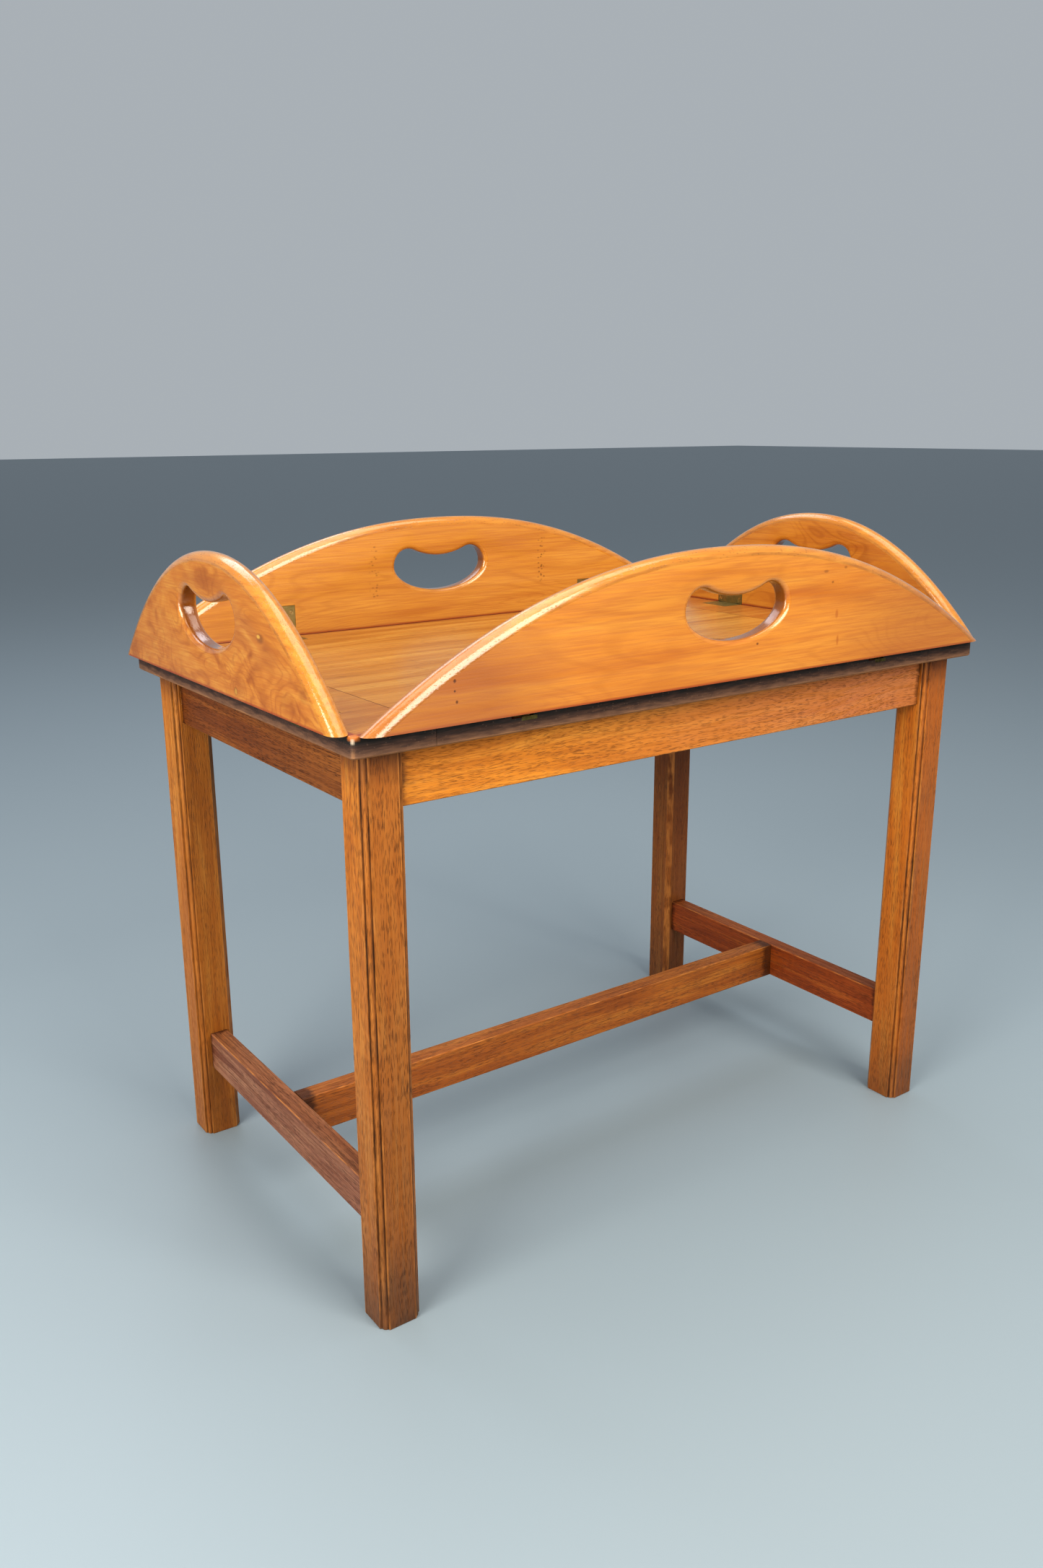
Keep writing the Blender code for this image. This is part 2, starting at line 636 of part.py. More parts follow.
def tray_leaf_mesh():
    """The leaf let into the board, with a notch and two ears for the pin; origin on the pin."""
    half = LEAF_WIDTH / 2
    notch = KNUCKLE_WIDTH / 2 + FIT
    edge = -HINGE_PIN_INBOARD
    back = edge + TRAY_LEAF_LENGTH
    outline = [(-half, edge), (-notch, edge), (-notch, NOTCH_END), (notch, NOTCH_END),
               (notch, edge), (half, edge), (half, back), (-half, back)]
    leaf = plate("tray_leaf_plate", [outline], LEAF_THICKNESS)
    leaf.transform(Matrix.Translation((0, 0, HINGE_PIN_DEPTH - LEAF_THICKNESS / 2)))
    bm = bmesh.new()
    bm.from_mesh(leaf)
    bpy.data.meshes.remove(leaf)
    nose = HINGE_PIN_DEPTH - FIT
    bevel_edges(bm, lambda a, b: min(a.z, b.z) > nose and max(a.y, b.y) < edge + FIT,
                TRAY_TOP_ARRIS, TRAY_ARRIS_STEPS)
    solids = [mesh_from(bm, "tray_leaf_plate")]
    for side in HINGE_SIGNS:
        ear = side_plate("tray_leaf_ear",
                         [ear_outline(), round_outline(PIN_HOLE_RADIUS, ROUND_STEPS)],
                         EAR_THICKNESS)
        ear.transform(Matrix.Translation((side * (notch + EAR_THICKNESS / 2), 0, 0)))
        solids.append(ear)
    return joined("hinge_tray_leaf", solids)


def spring_outline():
    """The strip spring's side view: a run under the leaf and a leg behind the knuckle."""
    top = LEAF_UNDERSIDE - FIT
    under = top - SPRING_THICKNESS
    near = HINGE_PIN_DEPTH + SPRING_RELIEF
    far = near + SPRING_REACH
    foot = -HINGE_PIN_DEPTH
    return [(near, foot), (near + SPRING_THICKNESS, foot), (near + SPRING_THICKNESS, under),
            (far, under), (far, top), (near, top)]


def hinge_mortise_mesh():
    """What a hinge takes out of the board: the leaf's housing, the pocket and the spring's."""
    edge = -HINGE_PIN_INBOARD
    leaf_half = LEAF_WIDTH / 2 + FIT
    pocket_half = KNUCKLE_WIDTH / 2 + FIT + EAR_THICKNESS + FIT
    spring_half = SPRING_WIDTH / 2 + FIT
    above = HINGE_PIN_DEPTH + OVERRUN
    leaf_floor = LEAF_UNDERSIDE - FIT
    spring_near = HINGE_PIN_DEPTH + SPRING_RELIEF
    pocket_floor = -HINGE_PIN_DEPTH - SPRING_RELIEF - FIT
    pocket_back = spring_near + SPRING_THICKNESS + FIT
    spring_floor = leaf_floor - SPRING_THICKNESS - FIT
    housing = box("leaf_housing", (-leaf_half, edge - OVERRUN, leaf_floor),
                  (leaf_half, edge + TRAY_LEAF_LENGTH + FIT, above))
    pocket = box("knuckle_pocket", (-pocket_half, edge - OVERRUN, pocket_floor),
                 (pocket_half, pocket_back, above))
    spring = box("spring_housing", (-spring_half, edge, spring_floor),
                 (spring_half, spring_near + SPRING_REACH + FIT, above))
    return joined("hinge_mortise", [housing, pocket, spring])


def leaf_recess_mesh():
    """What a hinge takes out of a flap: the leaf's housing, open at the flap's root."""
    half = LEAF_WIDTH / 2 + FIT
    return box("leaf_recess", (-half, LEAF_UNDERSIDE - FIT, FLAP_ROOT - OVERRUN),
               (half, FLAP_INNER_FACE + OVERRUN, FLAP_LEAF_START + FLAP_LEAF_LENGTH + FIT))


def hinge_meshes():
    pin_length = KNUCKLE_WIDTH + 2 * (FIT + EAR_THICKNESS)
    return {
        "tray_leaf": tray_leaf_mesh(),
        "flap_leaf": flap_leaf_mesh(),
        "pin": rod("hinge_pin", PIN_DIAMETER / 2, pin_length, ROUND_STEPS),
        "spring": side_plate("hinge_spring", [spring_outline()], SPRING_WIDTH),
        "mortise": hinge_mortise_mesh(),
        "recess": leaf_recess_mesh(),
    }


def build_side(shop, tray, board, name, side, meshes):
    """One flap with its two hinges, on an empty at the middle of its pin line."""
    turn = side["turn"]
    swing = Matrix.Rotation(turn * QUARTER_TURN, 4, "Z")
    pin_line = -(side["edge"] - HINGE_PIN_INBOARD)
    pin_height = TRAY_THICKNESS - HINGE_PIN_DEPTH
    axis = shop.empty(f"hinge_axis_{name}", swing @ Vector((0, pin_line, pin_height)), turn, tray)
    half_length = side["half"] - FLAP_END_GAP
    flap = shop.piece(f"flap_{name}", flap_mesh(f"flap_{name}", half_length, side["fullness"]),
                      "flap", parent=axis)
    shop.cut(flap, f"flap_{name}_hand_hole", meshes["hand_hole"], parent=axis)
    hollow = rod(f"flap_{name}_hollow", HOLLOW_RADIUS, 2 * (side["half"] + OVERRUN),
                 2 * ROUND_STEPS)
    shop.cut(flap, hollow.name, hollow, parent=axis)
    timber = board["panel"] if name in ("front", "rear") else board[name]
    for sign, place in zip(HINGE_SIGNS, side["hinges"]):
        hinge = f"hinge_{name}_{place}"
        along = sign * side["hinge_offset"]
        shop.cut(flap, f"{hinge}_recess", meshes["recess"], (along, 0, 0), parent=axis)
        shop.piece(f"{hinge}_flap_leaf", meshes["flap_leaf"], "brass", (along, 0, 0), parent=axis)
        on_board = swing @ Vector((along, pin_line, pin_height))
        shop.cut(timber, f"{hinge}_mortise", meshes["mortise"], on_board, turn, tray)
        shop.piece(f"{hinge}_tray_leaf", meshes["tray_leaf"], "brass", on_board, turn, tray)
        shop.piece(f"{hinge}_pin", meshes["pin"], "pin", on_board, turn, tray)
        shop.piece(f"{hinge}_spring", meshes["spring"], "spring", on_board, turn, tray)


def main():
    clear_scene()
    shop = Workshop()
    build_stand(shop)
    tray = shop.empty("tray_frame", (0, 0, STAND_HEIGHT))
    board = build_board(shop, tray)
    meshes = hinge_meshes()
    meshes["hand_hole"] = hole_cutter_mesh()
    for name, side in SIDES.items():
        build_side(shop, tray, board, name, side, meshes)


main()
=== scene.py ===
# Butler tray on its stand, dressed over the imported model.
# Everything is in metres in the model's own frame: +X to the right, -Y the front, +Z up.
import bmesh
import bpy
import math
import random
from mathutils import Matrix, Vector


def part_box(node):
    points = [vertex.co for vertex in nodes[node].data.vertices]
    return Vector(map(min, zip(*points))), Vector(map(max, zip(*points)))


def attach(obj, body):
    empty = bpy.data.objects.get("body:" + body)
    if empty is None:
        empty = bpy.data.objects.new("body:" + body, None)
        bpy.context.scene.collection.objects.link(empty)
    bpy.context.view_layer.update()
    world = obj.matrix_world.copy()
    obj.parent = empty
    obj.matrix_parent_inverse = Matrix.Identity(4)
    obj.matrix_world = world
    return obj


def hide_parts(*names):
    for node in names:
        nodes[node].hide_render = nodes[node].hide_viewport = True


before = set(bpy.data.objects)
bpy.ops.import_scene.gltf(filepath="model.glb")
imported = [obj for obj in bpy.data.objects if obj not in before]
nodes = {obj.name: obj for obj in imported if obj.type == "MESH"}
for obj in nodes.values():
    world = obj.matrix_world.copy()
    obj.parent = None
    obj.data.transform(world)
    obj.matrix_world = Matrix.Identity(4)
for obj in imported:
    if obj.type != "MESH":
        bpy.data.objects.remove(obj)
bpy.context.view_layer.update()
mm = 0.001
# the board's own box, which the timber of the board and the legs is drawn to
boardBoxes = [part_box(name) for name in ("tray_panel", "tray_end_left", "tray_end_right")]
boardLow = [min(low[i] for low, _ in boardBoxes) for i in range(3)]
boardHigh = [max(high[i] for _, high in boardBoxes) for i in range(3)]
print("frame loaded:", len(nodes), "nodes")


def linearColour(code):  # sRGB hex to a linear colour
    channels = [int(code[i:i + 2], 16) / 255 for i in (0, 2, 4)]
    return [c / 12.92 if c <= 0.04045 else ((c + 0.055) / 1.055) ** 2.4 for c in channels] + [1]


def addNode(tree, kind, settings=None, links=None):
    node = tree.nodes.new("ShaderNode" + kind)
    for name, value in (settings or {}).items():
        if name == "stops":  # a ramp's (place, hex colour) pairs
            elements = node.color_ramp.elements
            while len(elements) < len(value):
                elements.new(0.5)
            for element, (place, code) in zip(elements, value):
                element.position = place
                element.color = linearColour(code)
        elif isinstance(name, int) or name in node.inputs:
            node.inputs[name].default_value = value
        else:
            setattr(node, name, value)
    for name, socket in (links or {}).items():
        tree.links.new(socket, node.inputs[name])
    return node.outputs


def maths(tree, operation, *values):  # a Math node on sockets and plain numbers
    numbers = {i: v for i, v in enumerate(values) if isinstance(v, (int, float))}
    sockets = {i: v for i, v in enumerate(values) if i not in numbers}
    return addNode(tree, "Math", {"operation": operation, **numbers}, sockets)[0]


# low..high of a value spread onto start..end and kept within them
def spread(tree, value, low, high, start=0, end=1):
    return addNode(tree, "MapRange", {"From Min": low, "From Max": high, "To Min": start,
                                      "To Max": end}, {"Value": value})[0]


# 0 up to the first depth (mm) short of an edge, 1 from the second depth on
def nearEdge(tree, value, edge, depths):
    return spread(tree, value, edge - depths[0] * mm, edge - depths[1] * mm)


def ramp(tree, value, *stops):
    return addNode(tree, "ValToRGB", {"stops": stops}, {0: value})[0]


def overlay(tree, mask, under, over):
    return addNode(tree, "Mix", {"data_type": "RGBA"}, {0: mask, 6: under, 7: over})[2]


def parted(tree, kind):  # X, Y and Z of the Object coordinates or of the Normal
    return addNode(tree, "SeparateXYZ", {}, {0: addNode(tree, "TexCoord")[kind]})


def painted(tree, layer):  # a value held on the mesh itself
    return addNode(tree, "Attribute", {"attribute_name": layer})["Fac"]


def newMaterial(name, roughness=0.4, metallic=0.0, ior=None, polish=None):
    material = bpy.data.materials.new(name)
    material.use_nodes = True
    tree = material.node_tree
    shader = tree.nodes["Principled BSDF"]
    shader.inputs["Roughness"].default_value = roughness
    shader.inputs["Metallic"].default_value = metallic
    if ior:
        shader.inputs["IOR"].default_value = ior
    if polish:  # a film of lacquer or shellac: its weight and how matt it is rubbed
        shader.inputs["Coat Weight"].default_value = polish[0]
        shader.inputs["Coat Roughness"].default_value = polish[1]
    return material, tree, shader


# Object coordinates from a centre, turned so that X runs along the grain
def grainCoords(tree, grain, centre=(0, 0, 0)):
    turns = {"X": (0, 0, 0), "Y": (0, 0, -math.pi / 2), "Z": (0, math.pi / 2, 0)}
    place = addNode(tree, "TexCoord")["Object"]
    moved = addNode(tree, "Mapping", {"Location": [-c for c in centre]}, {"Vector": place})[0]
    return addNode(tree, "Mapping", {"Rotation": turns[grain]}, {"Vector": moved})[0]


# Long soft streaks: noise stretched to length x width (mm), with its low..high spread onto 0..1
def streaks(tree, coords, length, width, low, high, seed, detail, distortion=0):
    size = (1 / (length * mm), 1 / (width * mm), 1 / (width * mm))
    scaled = addNode(tree, "Mapping", {"Scale": size, "Location": (seed, seed * 1.7, seed * 0.6)},
                     {"Vector": coords})[0]
    noise = addNode(tree, "TexNoise", {"Scale": 1, "Detail": detail, "Distortion": distortion},
                    {"Vector": scaled})[0]
    return spread(tree, noise, low, high)


# Coordinates whose grain runs off line by up to reach (mm) over length (mm), as sawn boards do
def wander(tree, coords, length, reach, seed):
    drift = streaks(tree, coords, length, length * 0.35, 0, 1, seed, 1)
    shift = maths(tree, "MULTIPLY_ADD", drift, reach * mm, -reach * mm / 2)
    offset = addNode(tree, "CombineXYZ", {}, {1: shift, 2: shift})[0]
    return addNode(tree, "VectorMath", {"operation": "ADD"}, {0: coords, 1: offset})[0]


# Separate short dashes along the grain, as open pores show: a share of the cells holds one
def pores(tree, coords, length, width, share, thin, seed):
    size = (1 / (length * mm), 1 / (width * mm), 1 / (width * mm))
    scaled = addNode(tree, "Mapping", {"Scale": size, "Location": (seed, seed, seed)},
                     {"Vector": coords})[0]
    cells = addNode(tree, "TexVoronoi", {"Scale": 1}, {"Vector": scaled})
    chance = addNode(tree, "SeparateColor", {}, {"Color": cells["Color"]})[0]
    wanted = maths(tree, "LESS_THAN", chance, share)
    dash = spread(tree, cells["Distance"], thin, thin * 0.45)
    return maths(tree, "MULTIPLY", dash, wanted)


# Lays one plain colour over another where the mask is strong
def stain(tree, colour, mask, code, amount):
    factor = addNode(tree, "Math", {"operation": "MULTIPLY", 1: amount, "use_clamp": True},
                     {0: mask})[0]
    return addNode(tree, "Mix", {"data_type": "RGBA", 7: linearColour(code)},
                   {0: factor, 6: colour})[2]


# 1 where a coordinate lies within the band, easing off over the soft width
def band(tree, value, low, high, soft):
    slopes = [addNode(tree, "MapRange", {"From Min": start, "From Max": end,
                                         "interpolation_type": "SMOOTHSTEP"}, {"Value": value})[0]
              for start, end in ((low - soft, low + soft), (high + soft, high - soft))]
    return maths(tree, "MULTIPLY", *slopes)


# One soft round mark with the given half sizes (mm) at a place
def mark(tree, coords, place, size, soft=0.5):
    away = addNode(tree, "VectorMath", {"operation": "SUBTRACT", 1: place}, {0: coords})[0]
    scaled = addNode(tree, "VectorMath", {"operation": "DIVIDE", 1: [s * mm for s in size]},
                     {0: away})[0]
    length = addNode(tree, "VectorMath", {"operation": "LENGTH"}, {0: scaled})["Value"]
    return spread(tree, length, 1, soft)


# 1 on the eased arrises, whose faces lie well off square to the axes
def arrises(tree):
    normal = addNode(tree, "TexCoord")["Normal"]
    turned = addNode(tree, "VectorMath", {"operation": "ABSOLUTE"}, {0: normal})[0]
    parts = addNode(tree, "SeparateXYZ", {}, {0: turned})
    widest = maths(tree, "MAXIMUM", parts[0], parts[1])
    widest = maths(tree, "MAXIMUM", widest, parts[2])
    return spread(tree, widest, 0.96, 0.8)


def connect(tree, shader, colour, height, rough, depth):  # depth is the relief's, in mm
    tree.links.new(colour, shader.inputs["Base Color"])
    tree.links.new(rough, shader.inputs["Roughness"])
    bump = addNode(tree, "Bump", {"Strength": 1, "Distance": depth * mm}, {"Height": height})[0]
    tree.links.new(bump, shader.inputs["Normal"])
    tree.links.new(bump, shader.inputs["Coat Normal"])


# Mahogany, stained and waxed: orange-brown with open pores as short dark dashes, paler where the
# arrises are rubbed. Real pores are 0.3 mm wide; these are drawn at 0.6 to 0.7 mm, so they show
standWood = {
    "pore": "220C04", "rubbed": "AA723A", "grime": "140602", "foot": "3E2E24", "dirt": "2C1205",
    "wearAndShade": "603F29", "front": "744626", "top": "9A5E2A", "shade": "391A0A",
    "figure": (180, 12), "fibre": (70, 1.6), "pores": (16, 0.85), "finePores": (9, 0.7),  # mm
    "driftLength": 240, "dense": (90, 9), "blotch": (60, 35), "uneven": (30, 10),  # mm
    "rub": (25, 8), "joint": (11, 5), "ragged": (9, 5), "raggedness": 8,  # mm
    "footHeight": 90, "wornHeight": 400,  # mm
    "roughness": (0.42, 0.6), "ior": 1.33, "poreDepth": 0.3,
}
standTones = {  # dark, middle and light of a piece's figure: the pieces took the stain differently
    "golden": ("A46018", "BC7828", "C68836"), "tawny": ("753E16", "8E531F", "9D672A"),
    "brown": ("552A09", "6A380D", "7F4B17"), "leg": ("8E5115", "A26420", "B17A32"),
    # the front-right leg's tone is brighter than the other legs': painted light
    # the left stretcher's greyish tone is its brown with a painted sheen
    "litAmber": ("A65A12", "B66C20", "BE8032"), "faded": ("5E3626", "78503C", "8C664E"),
    "russet": ("6A2F10", "864016", "985420"),
}


# pored is how strongly the open pores show and reach how far the grain runs off line (mm).
# finish is a leg's own. Its foot, front and worn strengths are painted shade: over the foot, on
# the faces to the front and over the lower part; grime is dirt with painted shade in the quirks;
# and shade is how far down (mm) the board's painted shade reaches, and how much. shoulder is a
# rail's end, from the middle (m), and fade how its colour changes: from and to along it (m), a
# colour and a strength
def standTimber(node, grain, tones, pored, seed, reach=6, finish=None, shoulder=None, fade=None):
    wood = standWood
    dark, middle, light = standTones[tones]
    material, tree, shader = newMaterial("waxedMahogany" + node.title().replace("_", ""),
                                         ior=wood["ior"])
    coords = wander(tree, grainCoords(tree, grain), wood["driftLength"], reach, seed + 1)
    tone = streaks(tree, coords, *wood["figure"], 0.25, 0.75, seed, 2, 0.6)
    colour = ramp(tree, tone, (0, dark), (0.5, middle), (1, light))
    normal = parted(tree, "Normal")
    place = parted(tree, "Object")
    if finish:  # painted shade: darker on the faces to the front and towards each leg's foot
        front = spread(tree, normal[1], -0.6, -0.9)
        colour = stain(tree, colour, front, wood["front"], finish["front"])
        # painted shade: each leg darkens over its lower part
        low = spread(tree, place[2], wood["wornHeight"] * mm, 0)
        colour = stain(tree, colour, low, wood["wearAndShade"], finish["wearAndShade"])
    else:
        # painted shading: the rails' upward faces get a brown of their own, as lit from above
        upper = spread(tree, normal[2], 0.6, 0.9)
        colour = stain(tree, colour, upper, wood["top"], 0.45)
    if fade:
        start, end, code, strength = fade
        faded = spread(tree, place[grain], start, end)
        colour = stain(tree, colour, faded, code, strength)
    fibre = streaks(tree, coords, *wood["fibre"], 0.45, 0.62, seed + 3, 3)
    colour = stain(tree, colour, fibre, dark, 0.3 + 0.4 * pored)
    colour = stain(tree, colour, fibre, wood["pore"], 0.16)
    dense = streaks(tree, coords, *wood["dense"], 0.35, 0.6, seed + 7, 2)
    dashes = pores(tree, coords, *wood["pores"], 0.7, 0.4, seed)
    small = pores(tree, coords, *wood["finePores"], 0.75, 0.4, seed + 5)
    dashes = maths(tree, "MAXIMUM", dashes, small)
    weight = spread(tree, dense, 0, 1, 0.5, 1)
    dashes = maths(tree, "MULTIPLY", dashes, weight)
    colour = stain(tree, colour, dashes, wood["pore"], pored)
    if finish:
        wear = painted(tree, "wear")
        # dirt and painted shade in the quirks, held on the mesh
        grime = painted(tree, "grime")
        uneven = streaks(tree, coords, *wood["uneven"], 0.15, 0.5, seed + 15, 3)
        grime = maths(tree, "MULTIPLY", grime, uneven)
        colour = stain(tree, colour, grime, wood["grime"], finish["grime"])
        # painted shade over each leg's foot
        darkening = spread(tree, place[2], wood["footHeight"] * mm, 0)
        colour = stain(tree, colour, darkening, wood["foot"], finish["foot"])
        reached, shaded = finish["shade"]
        under = nearEdge(tree, place[2], boardLow[2], (reached, reached / 3))
        colour = stain(tree, colour, under, wood["shade"], shaded)
    else:
        wear = arrises(tree)
    if shoulder:  # dirt gathers in a ragged line where a rail meets the legs
        away = maths(tree, "ABSOLUTE", place[grain])
        ragged = streaks(tree, coords, *wood["ragged"], 0.2, 0.8, seed + 17, 3)
        away = maths(tree, "MULTIPLY_ADD", ragged, -wood["raggedness"] * mm, away)
        near = nearEdge(tree, away, shoulder, wood["joint"])
        colour = stain(tree, colour, near, wood["dirt"], 0.85)
    rub = streaks(tree, coords, *wood["rub"], 0.42, 0.6, seed + 13, 2)
    wear = maths(tree, "MULTIPLY", wear, rub)
    colour = stain(tree, colour, wear, wood["rubbed"], 0.65)
    blotch = streaks(tree, coords, *wood["blotch"], 0.35, 0.7, seed + 11, 2)
    colour = stain(tree, colour, blotch, dark, 0.3)
    rough = spread(tree, fibre, 0, 1, *wood["roughness"])
    height = maths(tree, "MULTIPLY_ADD", dashes, -1, 1)
    connect(tree, shader, colour, height, rough, wood["poreDepth"])
    return material


# Cherry or similar fruitwood, french polished: honey-brown with long darker streaks. Its sides
# are stained nearly black, with painted shade towards the top under the flaps and a painted
# highlight near the top of each corner; their lower arris is rubbed back to bare orange-brown
boardWood = {
    "dark": "8E591C", "middle": "A16C29", "light": "AE7F3A", "streak": "552C0D",
    "fleck": "391705", "endTone": "7D3D10", "seam": "451F07", "rootTone": "6C1705",
    "corner": "A25A1D", "side": "0D0805", "sideMiddle": "352118", "sideLight": "664834",
    "speck": "6C5241", "rubbed": "966C44", "pale": "BEAE9A", "under": "6C4526",
    "figure": (330, 14), "streaks": (190, 3.2), "fibre": (60, 1.2), "flecks": (15, 1.3),  # mm
    "drift": (260, 30), "reddish": (130, 30), "soot": (14, 2.2), "uneven": (30, 12),  # mm
    "specks": (3, 1.4), "seamHalfWidth": 0.45, "seamSoft": 0.3, "root": (7.5, 6),  # mm
    "arris": (3, 1), "cornerDrop": (4, 1.5), "relief": 0.08,  # mm
    "highlightDrop": (5.5, 1.5), "rubbedHeight": (2.42, 1.1), "rubbedWave": 1.2, "wornHeight": 9,  # mm
    "roughness": (0.3, 0.45), "sideRougher": 0.35, "polish": (0.2, 0.17), "sidePolish": 0.06,
    "ior": 1.4,
}
clampJoint = 0.284  # where the clamped ends meet the panel


def boardTimber(name, seed):
    wood = boardWood
    material, tree, shader = newMaterial(name, ior=wood["ior"], polish=wood["polish"])
    coords = wander(tree, grainCoords(tree, "X"), *wood["drift"], seed + 2)
    tone = streaks(tree, coords, *wood["figure"], 0.32, 0.68, seed, 3)
    colour = ramp(tree, tone, (0, wood["dark"]), (0.45, wood["middle"]), (1, wood["light"]))
    lines = streaks(tree, coords, *wood["streaks"], 0.56, 0.72, seed + 5, 2)
    colour = stain(tree, colour, lines, wood["streak"], 0.4)
    fibre = streaks(tree, coords, *wood["fibre"], 0.4, 0.62, seed + 9, 3)
    colour = stain(tree, colour, fibre, wood["dark"], 0.35)
    flecks = pores(tree, coords, *wood["flecks"], 0.16, 0.34, seed)
    colour = stain(tree, colour, flecks, wood["fleck"], 0.7)

    place = parted(tree, "Object")
    awayX = maths(tree, "ABSOLUTE", place[0])
    awayY = maths(tree, "ABSOLUTE", place[1])
    bottom, (highX, highY, top) = boardLow[2], boardHigh
    past = maths(tree, "GREATER_THAN", awayX, clampJoint)
    reddish = streaks(tree, coords, *wood["reddish"], 0.35, 0.6, seed + 4, 2)
    reddish = maths(tree, "MULTIPLY", past, reddish)
    colour = stain(tree, colour, reddish, wood["endTone"], 0.5)
    half = wood["seamHalfWidth"] * mm
    seam = band(tree, awayX, clampJoint - half, clampJoint + half, wood["seamSoft"] * mm)
    colour = stain(tree, colour, seam, wood["seam"], 0.75)
    rootX = nearEdge(tree, awayX, highX, wood["root"])
    rootY = nearEdge(tree, awayY, highY, wood["root"])
    roots = maths(tree, "MAXIMUM", rootX, rootY)
    colour = stain(tree, colour, roots, wood["rootTone"], 0.85)
    corner = maths(tree, "MULTIPLY", rootX, rootY)
    colour = stain(tree, colour, corner, wood["corner"], 1)  # rubbed clean between the flaps' ends

    # the sides and the underside, told from the top by which way they face
    normal = parted(tree, "Normal")
    side = spread(tree, normal[2], 0.8, 0.5)
    # painted shade: the sides are darkest at the top, under the flaps, and lighten to the bottom
    lower = spread(tree, place[2], top, bottom)
    around = maths(tree, "ADD", place[0], place[1])
    around = addNode(tree, "CombineXYZ", {}, {0: around, 2: place[2]})[0]
    sideMottleAndShade = streaks(tree, around, *wood["soot"], 0.25, 0.75, seed + 21, 4)
    sideMottleAndShade = maths(tree, "MULTIPLY_ADD", sideMottleAndShade, 0.36, -0.13)
    sideMottleAndShade = maths(tree, "ADD", sideMottleAndShade, lower)
    sideColour = ramp(tree, sideMottleAndShade, (0.3, wood["side"]), (0.6, wood["sideMiddle"]),
                      (1, wood["sideLight"]))
    specks = pores(tree, coords, *wood["specks"], 0.3, 0.3, seed + 2)
    sideColour = stain(tree, sideColour, specks, wood["speck"], 0.45)
    uneven = streaks(tree, around, *wood["uneven"], 0.3, 0.7, seed + 17, 2)
    lift = maths(tree, "MULTIPLY_ADD", uneven, wood["rubbedWave"] * mm, place[2])
    rubbed = spread(tree, lift, *(bottom + height * mm for height in wood["rubbedHeight"]))
    sideColour = stain(tree, sideColour, rubbed, wood["rubbed"], 0.75)
    # the four corners are rubbed clean at the top, with a painted highlight on their arris just
    # below it, and rubbed at the foot of their arris
    cornerTop = nearEdge(tree, place[2], top, wood["cornerDrop"])
    cornerTop = maths(tree, "MULTIPLY", corner, cornerTop)
    sideColour = stain(tree, sideColour, cornerTop, wood["corner"], 0.9)
    arrisX = nearEdge(tree, awayX, highX, wood["arris"])
    arrisY = nearEdge(tree, awayY, highY, wood["arris"])
    arris = maths(tree, "MULTIPLY", arrisX, arrisY)
    # painted highlight: a pale band on each corner's arris, a few mm below the top
    pale = band(tree, place[2], *(top - drop * mm for drop in wood["highlightDrop"]), mm)
    pale = maths(tree, "MULTIPLY", arris, pale)
    sideColour = stain(tree, sideColour, pale, wood["pale"], 0.75)
    wearAndShade = spread(tree, place[2], bottom + wood["wornHeight"] * mm, bottom)
    wearAndShade = maths(tree, "MULTIPLY", arris, wearAndShade)
    sideColour = stain(tree, sideColour, wearAndShade, wood["rubbed"], 0.7)
    colour = overlay(tree, side, colour, sideColour)
    under = spread(tree, normal[2], -0.5, -0.8)
    colour = stain(tree, colour, under, wood["under"], 0.9)

    rough = spread(tree, fibre, 0, 1, *wood["roughness"])
    rough = maths(tree, "MULTIPLY_ADD", side, wood["sideRougher"], rough)
    film = spread(tree, side, 0, 1, wood["polish"][0], wood["sidePolish"])
    tree.links.new(film, shader.inputs["Coat Weight"])
    height = maths(tree, "MULTIPLY_ADD", fibre, -0.4, 1)
    connect(tree, shader, colour, height, rough, wood["relief"])
    return material


# Cherry, polished and rubbed: honey-orange. The half-round edges are glossier than the faces,
# the hand holes' walls are browner, and thin worn lines mark the edges' arrises
flapWood = {
    "fibre": "8A4914", "ring": "6F350A", "edge": "AA732C", "edgeDark": "9B611F", "grip": "6C3A12",
    "line": "49250F", "pip": "391705", "rootTone": "752409", "pale": "B78E3D", "dull": "794524",
    "clear": (60, 40), "fibres": (40, 1.5), "edgeFigure": (40, 4), "edgePores": (4, 0.9),  # mm
    "pips": (4.5, 3), "pipHalfWidth": 5, "pipSoft": (3, 5), "root": (2.5, 0.8),  # mm
    "relief": 0.08,  # mm
    "roughness": (0.32, 0.44), "rubbed": 0.46, "polish": (0.4, 0.14), "edgePolish": 0.75,
    "ior": 1.45,
}
